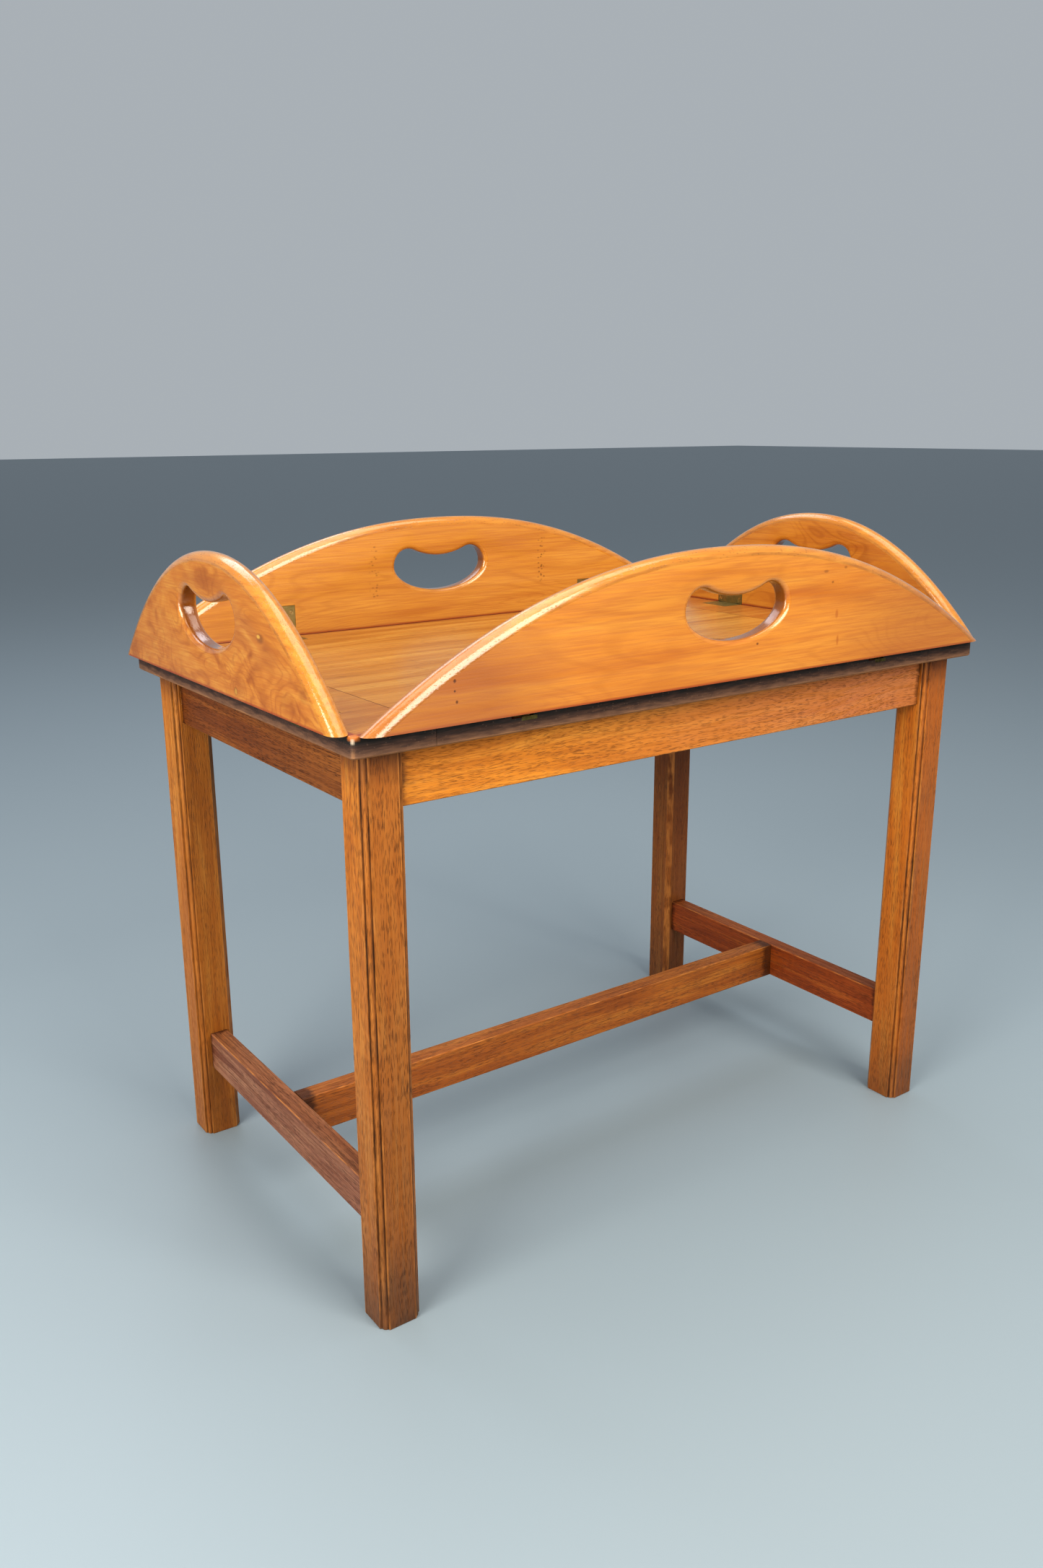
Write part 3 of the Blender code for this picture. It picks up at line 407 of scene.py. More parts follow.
# Each flap's own figure. The knots bend the growth rings and the marks are stains and pits: u and
# v from the middle of the root and their half sizes, all in mm, then a height or a colour and its
# strength. A band of pips has its u, from and to in v (mm) and its strength
flapFigures = {
    "front": {"grain": "X", "seed": 3.0, "tones": ("9B5819", "AE7029", "B98034"),
              "figure": (260, 16), "swirl": 0.5, "field": (500, 50), "rings": (140, 0.12),
              "knots": [(266, 35, 110, 50, 0.2)], "pipBands": [], "marks": [
                  (-310, 10, 150, 100, "dull", 0.55), (310, 0, 210, 130, "dull", 0.4),
                  (-275.6, 33, 1.6, 1.8, "pip", 0.8), (-275.7, 25.5, 1.2, 1.2, "pip", 0.8),
                  (-274, 17.3, 1.4, 1.6, "pip", 0.8), (114, 85, 4, 1.6, "pip", 0.4),
                  (123.3, 75, 1.8, 1.5, "pip", 0.5), (139.3, 87, 2.5, 1.6, "pip", 0.4),
                  (131, 46, 2.4, 5, "fibre", 0.6), (134, 22, 2, 6, "fibre", 0.6),
                  (32, 29, 1.8, 1.4, "pip", 0.7), (15, 41, 2.4, 1.8, "pip", 0.5)]},
    "rear": {"grain": "X", "seed": 19.0, "tones": ("925A1E", "A8722C", "B27F38"),
             "figure": (240, 20), "swirl": 0.6, "field": (500, 50), "rings": (160, 0.18),
             "knots": [(-20, -50, 260, 110, 0.7)],
             "pipBands": [(-91, 24, 90, 0.4), (132, 34, 84, 0.7)], "marks": [
                 (-40, 12, 50, 6, "fibre", 0.3), (90, 18, 60, 5, "fibre", 0.3)]},
    "left": {"grain": "Y", "seed": 31.0, "tones": ("7D420D", "A26724", "B27F35"),
             "figure": (60, 30), "swirl": 2.0, "field": (150, 70), "rings": (80, 0.32),
             "knots": [(-56, 10, 40, 34, 0.35), (4, 96, 60, 30, 0.3), (-150, 6, 36, 30, 0.35),
                       (70, 60, 40, 50, 0.2)], "pipBands": [], "marks": [
                 (4, 90, 46, 9, "ring", 0.25), (-56, 12, 20, 11, "ring", 0.25),
                 (-148, 12, 22, 11, "ring", 0.3), (186, 16, 16, 26, "ring", 0.3),
                 (-173, 23, 8, 7, "pip", 0.2), (-104, 56, 8, 5, "pip", 0.4),
                 (-177, 43.5, 2.6, 1.3, "pip", 0.8),
                 (-101, 57, 4, 2, "pale", 0.8), (-51, 6.5, 4.4, 4.4, "pip", 0.45),
                 (-51, 6.5, 3.2, 3.2, "pale", 0.5)]},
    "right": {"grain": "Y", "seed": 47.0, "tones": ("925418", "A86E26", "B37B30"),
              "figure": (150, 26), "swirl": 1.2, "field": (200, 60), "rings": (80, 0.35),
              "knots": [(0, -40, 160, 120, 0.6)], "pipBands": [], "marks": []},
}


def flapTimber(side, centre):
    wood, own = flapWood, flapFigures[side]
    material, tree, shader = newMaterial("polishedCherry" + side.title() + "Flap", ior=wood["ior"],
                                         polish=wood["polish"])
    seed = own["seed"]
    coords = grainCoords(tree, own["grain"], centre)
    tone = streaks(tree, coords, *own["figure"], 0.2, 0.8, seed, 3, own["swirl"])
    dark, middle, light = own["tones"]
    colour = ramp(tree, tone, (0, dark), (0.5, middle), (1, light))
    # growth rings: contour lines of a broad field, so that they wave and close round the knots
    field = streaks(tree, coords, *own["field"], 0, 1, seed + 6, 1, own["swirl"])
    for u, v, sizeU, sizeV, rise in own["knots"]:
        knot = mark(tree, coords, (u * mm, 0, v * mm), (sizeU, 200, sizeV), 0)
        field = maths(tree, "MULTIPLY_ADD", knot, rise, field)
    many = maths(tree, "MULTIPLY", field, own["rings"][0])
    wave = maths(tree, "SINE", many)
    ring = spread(tree, wave, 0.3, 1)
    clear = streaks(tree, coords, *wood["clear"], 0.3, 0.55, seed + 21, 1)
    ring = maths(tree, "MULTIPLY", ring, clear)
    colour = stain(tree, colour, ring, wood["ring"], own["rings"][1])
    fibre = streaks(tree, coords, *wood["fibres"], 0.4, 0.64, seed + 9, 3)
    colour = stain(tree, colour, fibre, wood["fibre"], 0.36)
    parts = addNode(tree, "SeparateXYZ", {}, {0: coords})
    half, (softU, softV) = wood["pipHalfWidth"], wood["pipSoft"]
    for u, low, high, amount in own["pipBands"]:
        strip = band(tree, parts[0], (u - half) * mm, (u + half) * mm, softU * mm)
        tall = band(tree, parts[2], low * mm, high * mm, softV * mm)
        strip = maths(tree, "MULTIPLY", strip, tall)
        dots = pores(tree, coords, *wood["pips"], 0.6, 0.42, seed)
        strip = maths(tree, "MULTIPLY", strip, dots)
        colour = stain(tree, colour, strip, wood["pip"], amount)
    root = spread(tree, parts[2], *(height * mm for height in wood["root"]))
    colour = stain(tree, colour, root, wood["rootTone"], 0.7)

    edge = painted(tree, "edge")
    grip = painted(tree, "grip")
    edgeTone = streaks(tree, coords, *wood["edgeFigure"], 0.3, 0.7, seed + 15, 2)
    edgeColour = ramp(tree, edgeTone, (0, wood["edgeDark"]), (1, wood["edge"]))
    edgeSpecks = pores(tree, coords, *wood["edgePores"], 0.35, 0.36, seed + 8)
    edgeSpecks = maths(tree, "MULTIPLY", edgeSpecks, edge)
    edgeColour = stain(tree, edgeColour, edgeSpecks, wood["pip"], 0.4)
    colour = overlay(tree, edge, colour, edgeColour)
    for u, v, sizeU, sizeV, code, amount in own["marks"]:
        spot = mark(tree, coords, (u * mm, 0, v * mm), (sizeU, 60, sizeV))
        colour = stain(tree, colour, spot, wood[code], amount)
    # the worn line lies where the round runs out into the face: nearly square to the thickness
    normal = parted(tree, "Normal")
    across = maths(tree, "ABSOLUTE", normal["Y" if own["grain"] == "X" else "X"])
    line = band(tree, across, 0.95, 0.994, 0.006)
    broken = streaks(tree, coords, 30, 30, 0.35, 0.6, seed + 18, 2)
    line = maths(tree, "MULTIPLY", line, edge)
    line = maths(tree, "MULTIPLY", line, broken)
    colour = stain(tree, colour, line, wood["line"], 0.28)
    inner = spread(tree, across, 0.7, 0.15)
    inner = maths(tree, "MULTIPLY", inner, grip)
    colour = stain(tree, colour, inner, wood["grip"], 0.85)

    rough = spread(tree, fibre, 0, 1, *wood["roughness"])
    handled = maths(tree, "MAXIMUM", edge, grip)
    film = spread(tree, handled, 0, 1, wood["polish"][0], wood["edgePolish"])
    tree.links.new(film, shader.inputs["Coat Weight"])
    gloss = spread(tree, handled, 0, 1, 1, wood["rubbed"])
    rough = maths(tree, "MULTIPLY", rough, gloss)
    height = maths(tree, "MULTIPLY_ADD", fibre, -0.4, 1)
    height = maths(tree, "SUBTRACT", height, edgeSpecks)
    connect(tree, shader, colour, height, rough, wood["relief"])
    return material


# Cast brass, aged: dull olive with darker tarnish, small black spots and fine scratches
def agedBrass(name, light="968A5F", dark="796D44", roughness=(0.36, 0.55), seed=0.0):
    material, tree, shader = newMaterial(name, metallic=1.0)
    coords = grainCoords(tree, "X")
    tarnish = streaks(tree, coords, 7, 7, 0.35, 0.65, seed, 4)
    colour = ramp(tree, tarnish, (0, light), (1, dark))
    spots = pores(tree, coords, 1.6, 1.6, 0.12, 0.3, seed + 3)
    colour = stain(tree, colour, spots, "221D0C", 0.35)
    rough = spread(tree, tarnish, 0, 1, *roughness)
    scratches = streaks(tree, coords, 9, 0.5, 0.3, 0.7, seed + 5, 2)
    height = maths(tree, "SUBTRACT", scratches, spots)
    connect(tree, shader, colour, height, rough, 0.02)
    return material


# Drawn or rolled steel: grey, with fine lines along the length it was drawn
def drawnSteel(name, light, dark, roughness):
    material, tree, shader = newMaterial(name, metallic=1.0)
    coords = grainCoords(tree, "X")
    lines = streaks(tree, coords, 12, 0.4, 0.35, 0.65, 2, 2)
    colour = ramp(tree, lines, (0, light), (1, dark))
    rough = spread(tree, lines, 0, 1, roughness, roughness + 0.15)
    connect(tree, shader, colour, lines, rough, 0.01)
    return material


# Plain sawn deal, unpolished: pale brown and matt, with saw lines across it
def sawnTimber(name):
    material, tree, shader = newMaterial(name, ior=1.5)
    coords = grainCoords(tree, "Y")
    tone = streaks(tree, coords, 160, 6, 0.3, 0.7, 4, 3)
    colour = ramp(tree, tone, (0, "55351C"), (1, "744E2D"))
    saw = streaks(tree, coords, 1.5, 30, 0.35, 0.65, 6, 1)
    colour = stain(tree, colour, saw, "452914", 0.3)
    rough = spread(tree, tone, 0, 1, 0.6, 0.75)
    connect(tree, shader, colour, saw, rough, 0.1)
    return material


def dressNode(name, material):  # a CAD node keeps its shape and takes a finish
    for slot in nodes[name].material_slots:
        slot.material = material


def sharpen(mesh, degrees=32):
    mesh.set_sharp_from_angle(angle=math.radians(degrees))


def placePiece(name, mesh, material, body, replaced=()):
    piece = bpy.data.objects.new(name, mesh)
    bpy.context.scene.collection.objects.link(piece)
    mesh.materials.clear()
    mesh.materials.append(material)
    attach(piece, body)
    for node in replaced:
        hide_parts(node)


def toMesh(bm, name):
    bmesh.ops.recalc_face_normals(bm, faces=bm.faces)
    mesh = bpy.data.meshes.new(name)
    bm.to_mesh(mesh)
    bm.free()
    return mesh


def roundOver(bm, edges, radius, steps, clamped=False):  # radius in mm
    bmesh.ops.bevel(bm, geom=edges, offset=radius * mm, segments=steps, profile=0.5,
                    affect="EDGES", material=-1, clamp_overlap=clamped)


def placedAt(place, turn):  # quarter turns about Z, then a move
    return Matrix.Translation(place) @ Matrix.Rotation(turn * math.pi / 2, 4, "Z")


def cutAway(mesh, cutters):  # takes the cutters' shapes out of a mesh
    target = bpy.data.objects.new("target", mesh)
    bpy.context.scene.collection.objects.link(target)
    tools = []
    for cutter in cutters:
        tool = bpy.data.objects.new("cutter", cutter)
        bpy.context.scene.collection.objects.link(tool)
        modifier = target.modifiers.new("cut", "BOOLEAN")
        modifier.operation = "DIFFERENCE"
        modifier.solver = "EXACT"
        modifier.object = tool
        tools.append(tool)
    graph = bpy.context.evaluated_depsgraph_get()
    result = bpy.data.meshes.new_from_object(target.evaluated_get(graph))
    for thing in [target, *tools]:
        bpy.data.objects.remove(thing, do_unlink=True)
    return result


def boxMesh(low, high):
    bm = bmesh.new()
    bmesh.ops.create_cube(bm, size=1)
    bmesh.ops.scale(bm, vec=Vector(high) - Vector(low), verts=bm.verts)
    bmesh.ops.translate(bm, vec=(Vector(high) + Vector(low)) / 2, verts=bm.verts)
    return toMesh(bm, "box")


def arcPoints(centre, radius, start, end, steps):
    points = []
    for i in range(steps + 1):
        angle = math.radians(start + (end - start) * i / steps)
        points.append((centre[0] + radius * math.cos(angle), centre[1] + radius * math.sin(angle)))
    return points


# how far out the legs' inner faces are along X and Y
legInside = [min(abs(corner[axis]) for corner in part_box("leg_front_right")) for axis in (0, 1)]
rails = {  # tones, how strongly the pores show, and where and how the colour changes along it
    "apron_front": ("golden", 0.42, (-0.16, 0.2, "945C46", 0.7)),
    "apron_rear": ("tawny", 0.5, None), "stretcher_centre": ("tawny", 0.45, None),
    "apron_left": ("brown", 0.6, (0.02, -0.17, "80501E", 0.6)),
    "apron_right": ("tawny", 0.5, None), "stretcher_left": ("faded", 0.5, None),
    "stretcher_right": ("russet", 0.4, None),
}
for count, (name, (tones, pored, fade)) in enumerate(rails.items()):
    axis = 0 if name in ("apron_front", "apron_rear", "stretcher_centre") else 1
    reach = 30 if name == "apron_front" else 6  # mm: the front apron's grain runs off line most
    dressNode(name, standTimber(name, "XY"[axis], tones, pored, count * 5.3, reach,
                                shoulder=legInside[axis], fade=fade))

legShape = {  # mm
    "moulding": 5.5, "quirk": 1.6, "quirkSlope": 0.4, "chamfer": 5.5, "roundSteps": 8,
    "rubWidth": 1.3, "footRound": 0.9, "footSteps": 2,
}
legFinishes = {
    "front_left": {"tones": "leg", "pored": 0.72, "front": 0.45, "wearAndShade": 0.65, "foot": 0.75,
                   "grime": 0.95, "shade": (30, 0.6)},
    "front_right": {"tones": "litAmber", "pored": 0.45, "front": 0.8, "wearAndShade": 0.5, "foot": 0.4,
                    "grime": 0.85, "shade": (30, 0.6)},
    "rear_left": {"tones": "leg", "pored": 0.38, "front": 0.2, "wearAndShade": 0.35, "foot": 0,
                  "grime": 0.65, "shade": (30, 0.6)},
    "rear_right": {"tones": "tawny", "pored": 0.4, "front": 0.45, "wearAndShade": 0.4, "foot": 0.3,
                   "grime": 0.8, "shade": (300, 0.95)},
}


# Points of one corner as distances in from it along both sides, with how rubbed, and how
# darkened by dirt and painted shade
def mouldedCorner(shape):
    edge = shape["moulding"] + shape["quirkSlope"]
    centre = (shape["moulding"], shape["moulding"])
    curve = arcPoints(centre, shape["moulding"] - shape["quirk"], 270, 180, shape["roundSteps"])
    points = [(edge + shape["rubWidth"], 0, 0, 0), (edge, 0, 1, 0)]
    for i, (a, b) in enumerate(curve):
        nose = math.sin(math.pi * i / shape["roundSteps"])
        points.append((a, b, 0.4 * nose ** 4, max(0.25, 1.2 - 1.1 * nose)))
    return points + [(0, edge, 1, 0), (0, edge + shape["rubWidth"], 0, 0)]


def chamferedCorner(shape):
    edge = shape["chamfer"]
    return [(edge + shape["rubWidth"], 0, 0, 0), (edge, 0, 1, 0), (0, edge, 1, 0),
            (0, edge + shape["rubWidth"], 0, 0)]


def makeLeg(corner, sideX, sideY, count):
    shape = legShape
    node = "leg_" + corner
    finish = legFinishes[corner]
    timber = standTimber(node, "Z", finish["tones"], finish["pored"], 9 + count * 3.7,
                         finish=finish)
    low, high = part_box(node)
    middle = (low + high) / 2
    half = (high[0] - low[0]) / 2
    bm = bmesh.new()
    wear = bm.verts.layers.float.new("wear")
    # how far dirt and painted shade darken the quirks
    grime = bm.verts.layers.float.new("grime")
    ring = []
    for cornerX, cornerY in ((-1, -1), (1, -1), (1, 1), (-1, 1)):
        inner = cornerX == -sideX and cornerY == -sideY
        profile = chamferedCorner(shape) if inner else mouldedCorner(shape)
        if cornerX * cornerY > 0:
            profile = profile[::-1]
        for a, b, rubbed, darkening in profile:
            vert = bm.verts.new((middle[0] + cornerX * (half - a * mm),
                                 middle[1] + cornerY * (half - b * mm), low[2]))
            vert[wear] = rubbed
            vert[grime] = darkening
            ring.append(vert)
    grown = bmesh.ops.extrude_face_region(bm, geom=[bm.faces.new(ring)])
    top = [v for v in grown["geom"] if isinstance(v, bmesh.types.BMVert)]
    bmesh.ops.translate(bm, vec=(0, 0, high[2] - low[2]), verts=top)
    foot = [e for e in bm.edges if all(abs(v.co.z - low[2]) < 0.01 * mm for v in e.verts)]
    roundOver(bm, foot, shape["footRound"], shape["footSteps"], clamped=True)
    mesh = toMesh(bm, node)
    mesh.shade_smooth()
    sharpen(mesh)
    placePiece(node + "_moulded", mesh, timber, "stand", [node])


for count, corner in enumerate(legFinishes):
    makeLeg(corner, 1 if "right" in corner else -1, 1 if "rear" in corner else -1, count)
print("stand dressed")


boardPanel = boardTimber("polishedCherryPanel", 2.0)
boardEnds = boardTimber("polishedCherryEnd", 13.0)
dressNode("tray_panel", boardPanel)
dressNode("tray_end_left", boardEnds)
dressNode("tray_end_right", boardEnds)
cleatTimber = sawnTimber("sawnDeal")
dressNode("cleat_left", cleatTimber)
dressNode("cleat_right", cleatTimber)
print("board dressed")


flapShape = {  # mm
    "edgeRound": 8.6, "edgeSteps": 8, "archSteps": 46, "carryOn": 1.1, "tipGap": 3.5,
    "holeHalfWidth": 63, "holeLobe": 23, "holeLine": 62.5, "holeDrop": 33, "holeDip": 73.6,
    "holeRound": 5, "holeRoundSteps": 6, "lobeSteps": 12, "dipSteps": 8, "dropSteps": 14,
    "leafGap": 0.3, "leafDepth": 1.5, "pinDepth": 2.3, "cutOver": 2,
    "hollow": 2.94, "hollowSteps": 32,
}
flapSides = {  # quarter turns about Z, the arch's fullness, and how far off centre the hole is (mm)
    "front": (0, 2.18, 8.5), "right": (1, 2.08, 0), "rear": (2, 2.18, 6), "left": (3, 2.08, -4),
}


# One half of a flap's face, x from the middle out: the arch, the cut below it, and the hand hole
def halfFace(halfLength, height, fullness):
    shape = flapShape
    points = []
    for i in range(shape["archSteps"] + 1):
        share = shape["carryOn"] * i / shape["archSteps"]
        points.append((share * halfLength, height * (1 - share ** fullness)))
    points.append((0, points[-1][1]))
    # the hand hole, smaller by its round: half an ellipse below its line, a lobe and a dip above
    wide, inset = shape["holeHalfWidth"], shape["holeRound"]
    line = shape["holeLine"]
    for i in range(shape["dropSteps"], 0, -1):
        angle = -math.pi / 2 * i / shape["dropSteps"]
        along, down = math.cos(angle) / wide, math.sin(angle) / shape["holeDrop"]
        size = math.hypot(along, down)
        points.append((wide * math.cos(angle) - inset * along / size,
                       line + shape["holeDrop"] * math.sin(angle) - inset * down / size))
    lobeX = wide - shape["holeLobe"]
    rise = math.sqrt((shape["holeLobe"] + shape["holeDip"]) ** 2 - lobeX ** 2)
    meeting = math.degrees(math.atan2(rise, -lobeX))
    points += arcPoints((lobeX, line), shape["holeLobe"] - inset, 0, meeting, shape["lobeSteps"])
    points += arcPoints((0, line + rise), shape["holeDip"] + inset, meeting - 180, -90,
                        shape["dipSteps"])[1:]
    return [(x * mm if abs(x) > 0.001 else 0, z * mm) for x, z in points]


def hingePlaces(side):
    return ("left", "right") if side in ("front", "rear") else ("front", "rear")


# What is cut out of a flap: housings for its two hinge leaves and a hollow for the pins
def flapCutters(side, turn, rootZ, length):
    shape = flapShape
    gap, over = Vector((shape["leafGap"] * mm,) * 3), shape["cutOver"] * mm
    inward = Matrix.Rotation(turn * math.pi / 2, 3, "Z") @ Vector((0, 1, 0))
    axis = 0 if abs(inward[0]) > 0.5 else 1
    way = round(inward[axis])
    cutters = []
    for place in hingePlaces(side):
        leafLow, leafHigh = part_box(f"hinge_{side}_{place}_flap_leaf")
        pinLow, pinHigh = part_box(f"hinge_{side}_{place}_pin")
        cutLow, cutHigh = leafLow - gap, leafHigh + gap
        face = (pinLow[axis] + pinHigh[axis]) / 2 + inward[axis] * shape["pinDepth"] * mm
        cutLow[axis], cutHigh[axis] = sorted((face - way * shape["leafDepth"] * mm,
                                              face + way * over))
        cutLow[2] = rootZ - over
        cutters.append(boxMesh(cutLow, cutHigh))
    bm = bmesh.new()
    bmesh.ops.create_cone(bm, cap_ends=True, segments=shape["hollowSteps"],
                          radius1=shape["hollow"] * mm, radius2=shape["hollow"] * mm,
                          depth=length + 2 * over)
    lie = Matrix.Rotation(math.pi / 2, 4, "Y" if axis == 1 else "X")
    pinLine = (pinLow + pinHigh) / 2  # both pins lie on it
    pinLine[1 - axis] = 0
    bmesh.ops.transform(bm, matrix=Matrix.Translation(pinLine) @ lie, verts=bm.verts)
    return cutters + [toMesh(bm, "hollow")]


def makeFlap(side):
    shape = flapShape
    turn, fullness, holeOff = flapSides[side]
    low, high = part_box("flap_" + side)
    middle = (low + high) / 2
    root = (middle[0], middle[1], low[2])
    size = high - low
    thickness = min(size[0], size[1])
    halfLength = max(size[0], size[1]) / 2
    outline = halfFace(halfLength / mm - shape["tipGap"], size[2] / mm, fullness)
    floor = outline[shape["archSteps"]][1]
    bm = bmesh.new()
    bm.faces.new([bm.verts.new((x, -thickness / 2, z)) for x, z in outline])
    bmesh.ops.mirror(bm, geom=bm.verts[:] + bm.edges[:] + bm.faces[:], matrix=Matrix.Identity(4),
                     merge_dist=0.01 * mm, axis="X")

    def inHole(point, off=holeOff):
        return (abs(point.x - off * mm) < shape["holeHalfWidth"] * mm + mm
                and abs(point.z - shape["holeLine"] * mm) < shape["holeDrop"] * mm + mm)

    bmesh.ops.translate(bm, vec=(holeOff * mm, 0, 0),
                        verts=[v for v in bm.verts if inHole(v.co, 0)])
    grown = bmesh.ops.extrude_face_region(bm, geom=bm.faces[:])
    moved = [v for v in grown["geom"] if isinstance(v, bmesh.types.BMVert)]
    bmesh.ops.translate(bm, vec=(0, thickness, 0), verts=moved)
    bmesh.ops.recalc_face_normals(bm, faces=bm.faces)

    def isRim(edge):  # between a wall and one of the two big faces
        flat = [abs(f.normal.y) > 0.99 for f in edge.link_faces]
        return flat.count(True) == 1 and max(v.co.z for v in edge.verts) > floor + 0.1 * mm

    rims = [e for e in bm.edges if isRim(e)]
    arch = [e for e in rims if not inHole((e.verts[0].co + e.verts[1].co) / 2)]
    hole = [e for e in rims if inHole((e.verts[0].co + e.verts[1].co) / 2)]
    roundOver(bm, arch, shape["edgeRound"], shape["edgeSteps"])
    roundOver(bm, [e for e in hole if e.is_valid], shape["holeRound"], shape["holeRoundSteps"])
    cut = bmesh.ops.bisect_plane(bm, geom=bm.verts[:] + bm.edges[:] + bm.faces[:], dist=0.001 * mm,
                                 plane_co=(0, 0, 0), plane_no=(0, 0, -1), clear_outer=True)
    bmesh.ops.contextual_create(bm, geom=[e for e in cut["geom_cut"]
                                          if isinstance(e, bmesh.types.BMEdge)])
    edgeLayer = bm.faces.layers.float.new("edge")
    gripLayer = bm.faces.layers.float.new("grip")
    for face in bm.faces:
        centre = face.calc_center_median()
        flat = abs(face.normal.y) > 0.999
        underside = abs(face.normal.z) > 0.999 and centre.z < mm
        face[gripLayer] = 0 if flat or not inHole(centre) else 1
        face[edgeLayer] = 0 if flat or face[gripLayer] or underside else 1
        face.smooth = not flat
    bmesh.ops.transform(bm, matrix=placedAt(root, turn), verts=bm.verts)
    mesh = cutAway(toMesh(bm, "flap_" + side), flapCutters(side, turn, low[2], 2 * halfLength))
    sharpen(mesh)
    placePiece(f"flap_{side}_rounded", mesh, flapTimber(side, root), side + "_flap",
               ["flap_" + side])


for side in flapSides:
    makeFlap(side)
    print(side, "flap made")


hingeShape = {  # mm, in the hinge's own frame: x along the edge, y inward, z up, pin at (0, 0, 0)
    "leafFace": 2.3, "screwAcross": 15.4,
    "trayScrews": (2.7, 23.0), "flapScrews": (7.4, 26.7),
    "sinkRadius": 2.65, "sinkDepth": 1.5, "sinkOver": 0.5,
    "headRadius": 2.5, "tipRadius": 1.1, "headDepth": 1.4, "headSunk": 0.04, "steps": 24,
    "slotLength": 8, "slotWidth": 0.7, "slotDepth": 0.45, "slotOver": 1,
    "cheekLow": (-1, -2.2, -5.8), "cheekHigh": (14, -1.2, -2.5), "cheekRound": 0.35,
}
leafBrass = agedBrass("agedCastBrass", seed=1.0)
screwBrass = agedBrass("rubbedScrewBrass", "BEB187", "918151", (0.22, 0.38), 5.0)
cheekBrass = agedBrass("tarnishedBrass", "6D643D", "453D24", (0.4, 0.6), 9.0)
pinSteel = drawnSteel("drawnSteelWire", "7A776D", "55524A", 0.3)
springSteel = drawnSteel("bluedSpringSteel", "454951", "272A2F", 0.32)


def coneMesh(topRadius, bottomRadius, depth, topZ):  # all in mm
    bm = bmesh.new()
    bmesh.ops.create_cone(bm, cap_ends=True, segments=hingeShape["steps"],
                          radius1=bottomRadius * mm, radius2=topRadius * mm, depth=depth * mm)
    bmesh.ops.translate(bm, vec=(0, 0, (topZ - depth / 2) * mm), verts=bm.verts)
    return toMesh(bm, "cone")


def makeScrewHead():
    shape = hingeShape
    head = coneMesh(shape["headRadius"], shape["tipRadius"], shape["headDepth"],
                    -shape["headSunk"])
    halfLength, halfWidth = shape["slotLength"] / 2 * mm, shape["slotWidth"] / 2 * mm
    return cutAway(head, [boxMesh((-halfLength, -halfWidth, -shape["slotDepth"] * mm),
                                  (halfLength, halfWidth, shape["slotOver"] * mm))])


screwHead = makeScrewHead()
turnings = random.Random(7)


def cleanCopy(node):  # a merged copy of a CAD node's loose triangles
    bm = bmesh.new()
    bm.from_mesh(nodes[node].data)
    bmesh.ops.remove_doubles(bm, verts=bm.verts, dist=0.001 * mm)
    bmesh.ops.dissolve_limit(bm, angle_limit=math.radians(1), verts=bm.verts, edges=bm.edges)
    return toMesh(bm, node)


def makeLeaf(hinge, leaf, body, hingeFrame):
    shape = hingeShape
    places = []
    for along in shape[leaf + "Screws"]:
        for across in (-shape["screwAcross"], shape["screwAcross"]):
            if leaf == "tray":
                spot = Matrix.Translation(Vector((across, along, shape["leafFace"])) * mm)
            else:
                spot = Matrix.Translation(Vector((across, shape["leafFace"], along)) * mm)
                spot = spot @ Matrix.Rotation(-math.pi / 2, 4, "X")
            places.append(hingeFrame @ spot)
    radius, depth, over = shape["sinkRadius"], shape["sinkDepth"], shape["sinkOver"]
    sinks = []
    for place in places:
        sink = coneMesh(radius + over, radius - depth, depth + over, over)
        sink.transform(place)
        sinks.append(sink)
    node = f"{hinge}_{leaf}_leaf"
    mesh = cutAway(cleanCopy(node), sinks)
    mesh.shade_smooth()
    sharpen(mesh, 28)
    placePiece(node + "_sunk", mesh, leafBrass, body, [node])
    bm = bmesh.new()
    for place in places:
        head = screwHead.copy()
        head.transform(place @ Matrix.Rotation(turnings.uniform(0, math.pi), 4, "Z"))
        bm.from_mesh(head)
        bpy.data.meshes.remove(head)
    placePiece(f"{hinge}_{leaf}_screws", toMesh(bm, "screws"), screwBrass, body)


def makeCheek(hinge, hingeFrame):  # the brass below a knuckle, which shows in the board's edge
    shape = hingeShape
    cheek = boxMesh([c * mm for c in shape["cheekLow"]], [c * mm for c in shape["cheekHigh"]])
    cheek.transform(hingeFrame)
    bm = bmesh.new()
    bm.from_mesh(cheek)
    roundOver(bm, bm.edges[:], shape["cheekRound"], 2)
    placePiece(hinge + "_tray_cheek", toMesh(bm, "cheek"), cheekBrass, "tray")


for side, (turn, _, _) in flapSides.items():
    for place in hingePlaces(side):
        hinge = f"hinge_{side}_{place}"
        pinLow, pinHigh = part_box(hinge + "_pin")
        hingeFrame = placedAt((pinLow + pinHigh) / 2, turn)
        makeLeaf(hinge, "tray", "tray", hingeFrame)
        makeCheek(hinge, hingeFrame)
        makeLeaf(hinge, "flap", side + "_flap", hingeFrame)
        dressNode(hinge + "_pin", pinSteel)
        dressNode(hinge + "_spring", springSteel)
print("hinges fitted")


room = {"floor": "7B8891", "floorSize": 30, "air": "C9D0D6", "airStrength": 0.62}


def makeFloor():
    bm = bmesh.new()
    bmesh.ops.create_grid(bm, x_segments=1, y_segments=1, size=room["floorSize"])
    floor = bpy.data.objects.new("floor", toMesh(bm, "floor"))
    bpy.context.scene.collection.objects.link(floor)
    material, tree, shader = newMaterial("paleFloor", 0.5)
    shader.inputs["Base Color"].default_value = linearColour(room["floor"])
    floor.data.materials.append(material)


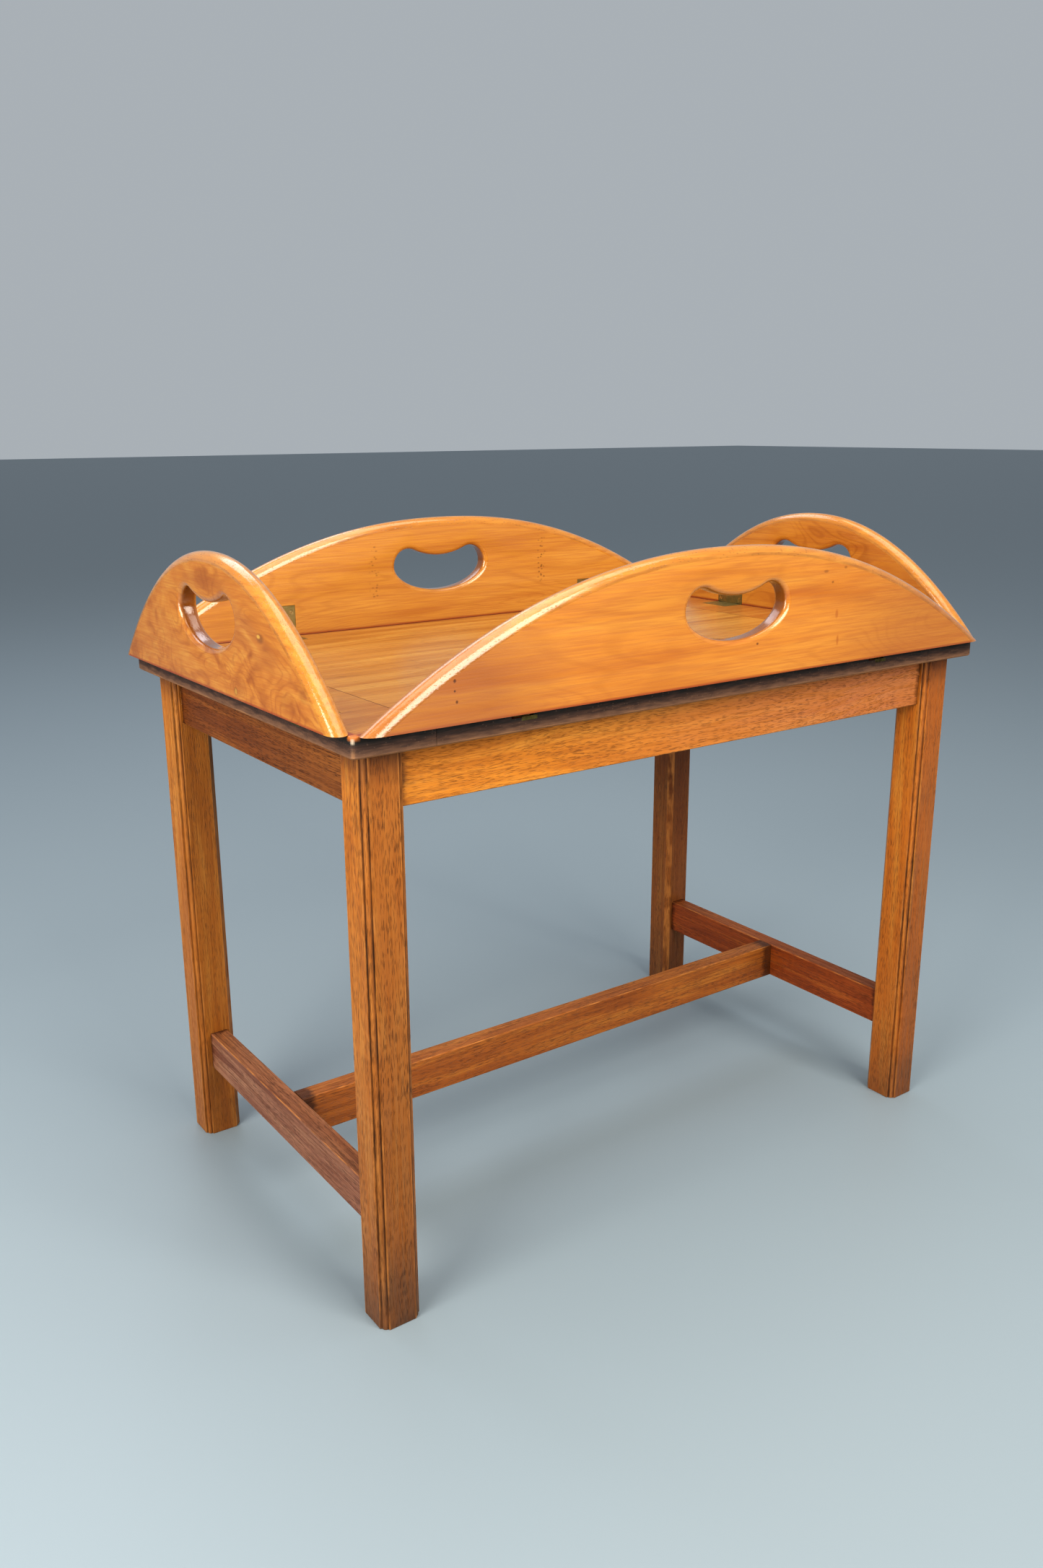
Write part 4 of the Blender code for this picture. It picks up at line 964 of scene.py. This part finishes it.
lamps = {  # place, aim, length and width (m), power (W), colour
    "frontWindow": ((0.1, -1.95, 1.58), (-0.1, -0.2, 0.5), (1.25, 1.9), 69, "FFF6E8"),
    "leftWindow": ((-2.05, -0.7, 1.4), (-0.3, -0.05, 0.45), (1.1, 1.4), 56, "FFF6E8"),
    "lowLeft": ((-2.2, -0.35, 0.5), (0.3, -0.2, 0.35), (1.2, 0.7), 20, "FFF6E8"),
    "overhead": ((0.1, -0.2, 2.8), (0, 0, 0.4), (2.2, 2.2), 40, "FFF8EE"),
    "rearFill": ((-0.1, 2.4, 3.0), (0, 0, 0.3), (2.4, 1.4), 28, "F4F6FF"),
}


def lookAt(place, aim):
    return (Vector(aim) - Vector(place)).to_track_quat("-Z", "Y").to_matrix().to_4x4()


def makeLamps():
    for name, (place, aim, size, power, colour) in lamps.items():
        data = bpy.data.lights.new(name, "AREA")
        data.shape = "RECTANGLE"
        data.size, data.size_y = size
        data.energy = power
        data.color = linearColour(colour)[:3]
        lamp = bpy.data.objects.new(name, data)
        lamp.matrix_world = Matrix.Translation(place) @ lookAt(place, aim)
        bpy.context.scene.collection.objects.link(lamp)
    world = bpy.data.worlds.new("softRoom")
    world.use_nodes = True
    background = world.node_tree.nodes["Background"]
    background.inputs["Color"].default_value = linearColour(room["air"])
    background.inputs["Strength"].default_value = room["airStrength"]
    bpy.context.scene.world = world
    bpy.context.scene.view_settings.view_transform = "Standard"
    bpy.context.scene.view_settings.look = "Medium High Contrast"


cameraFit = {  # solved from the photograph's own points: metres, degrees, pixels
    "place": (-0.75887, -0.99621, 0.72380), "yaw": -35.385, "pitch": -15.845, "roll": -0.290,
    "focal": 1759.06, "imageHeight": 2173,
}


def makeCamera():
    fit = cameraFit
    yaw, pitch, roll = (math.radians(fit[k]) for k in ("yaw", "pitch", "roll"))
    ahead = Vector((-math.sin(yaw) * math.cos(pitch), math.cos(yaw) * math.cos(pitch),
                    math.sin(pitch)))
    level = ahead.cross(Vector((0, 0, 1))).normalized()
    upright = level.cross(ahead)
    right = level * math.cos(roll) + upright * math.sin(roll)
    up = upright * math.cos(roll) - level * math.sin(roll)
    data = bpy.data.cameras.new("camera")
    data.sensor_width = 36
    data.lens = fit["focal"] / fit["imageHeight"] * data.sensor_width
    data.clip_start = 0.01
    camera = bpy.data.objects.new("camera", data)
    turned = Matrix((right, up, -ahead)).transposed().to_4x4()
    camera.matrix_world = Matrix.Translation(fit["place"]) @ turned
    bpy.context.scene.collection.objects.link(camera)
    bpy.context.scene.camera = camera


makeFloor()
makeLamps()
makeCamera()
print("stage set")
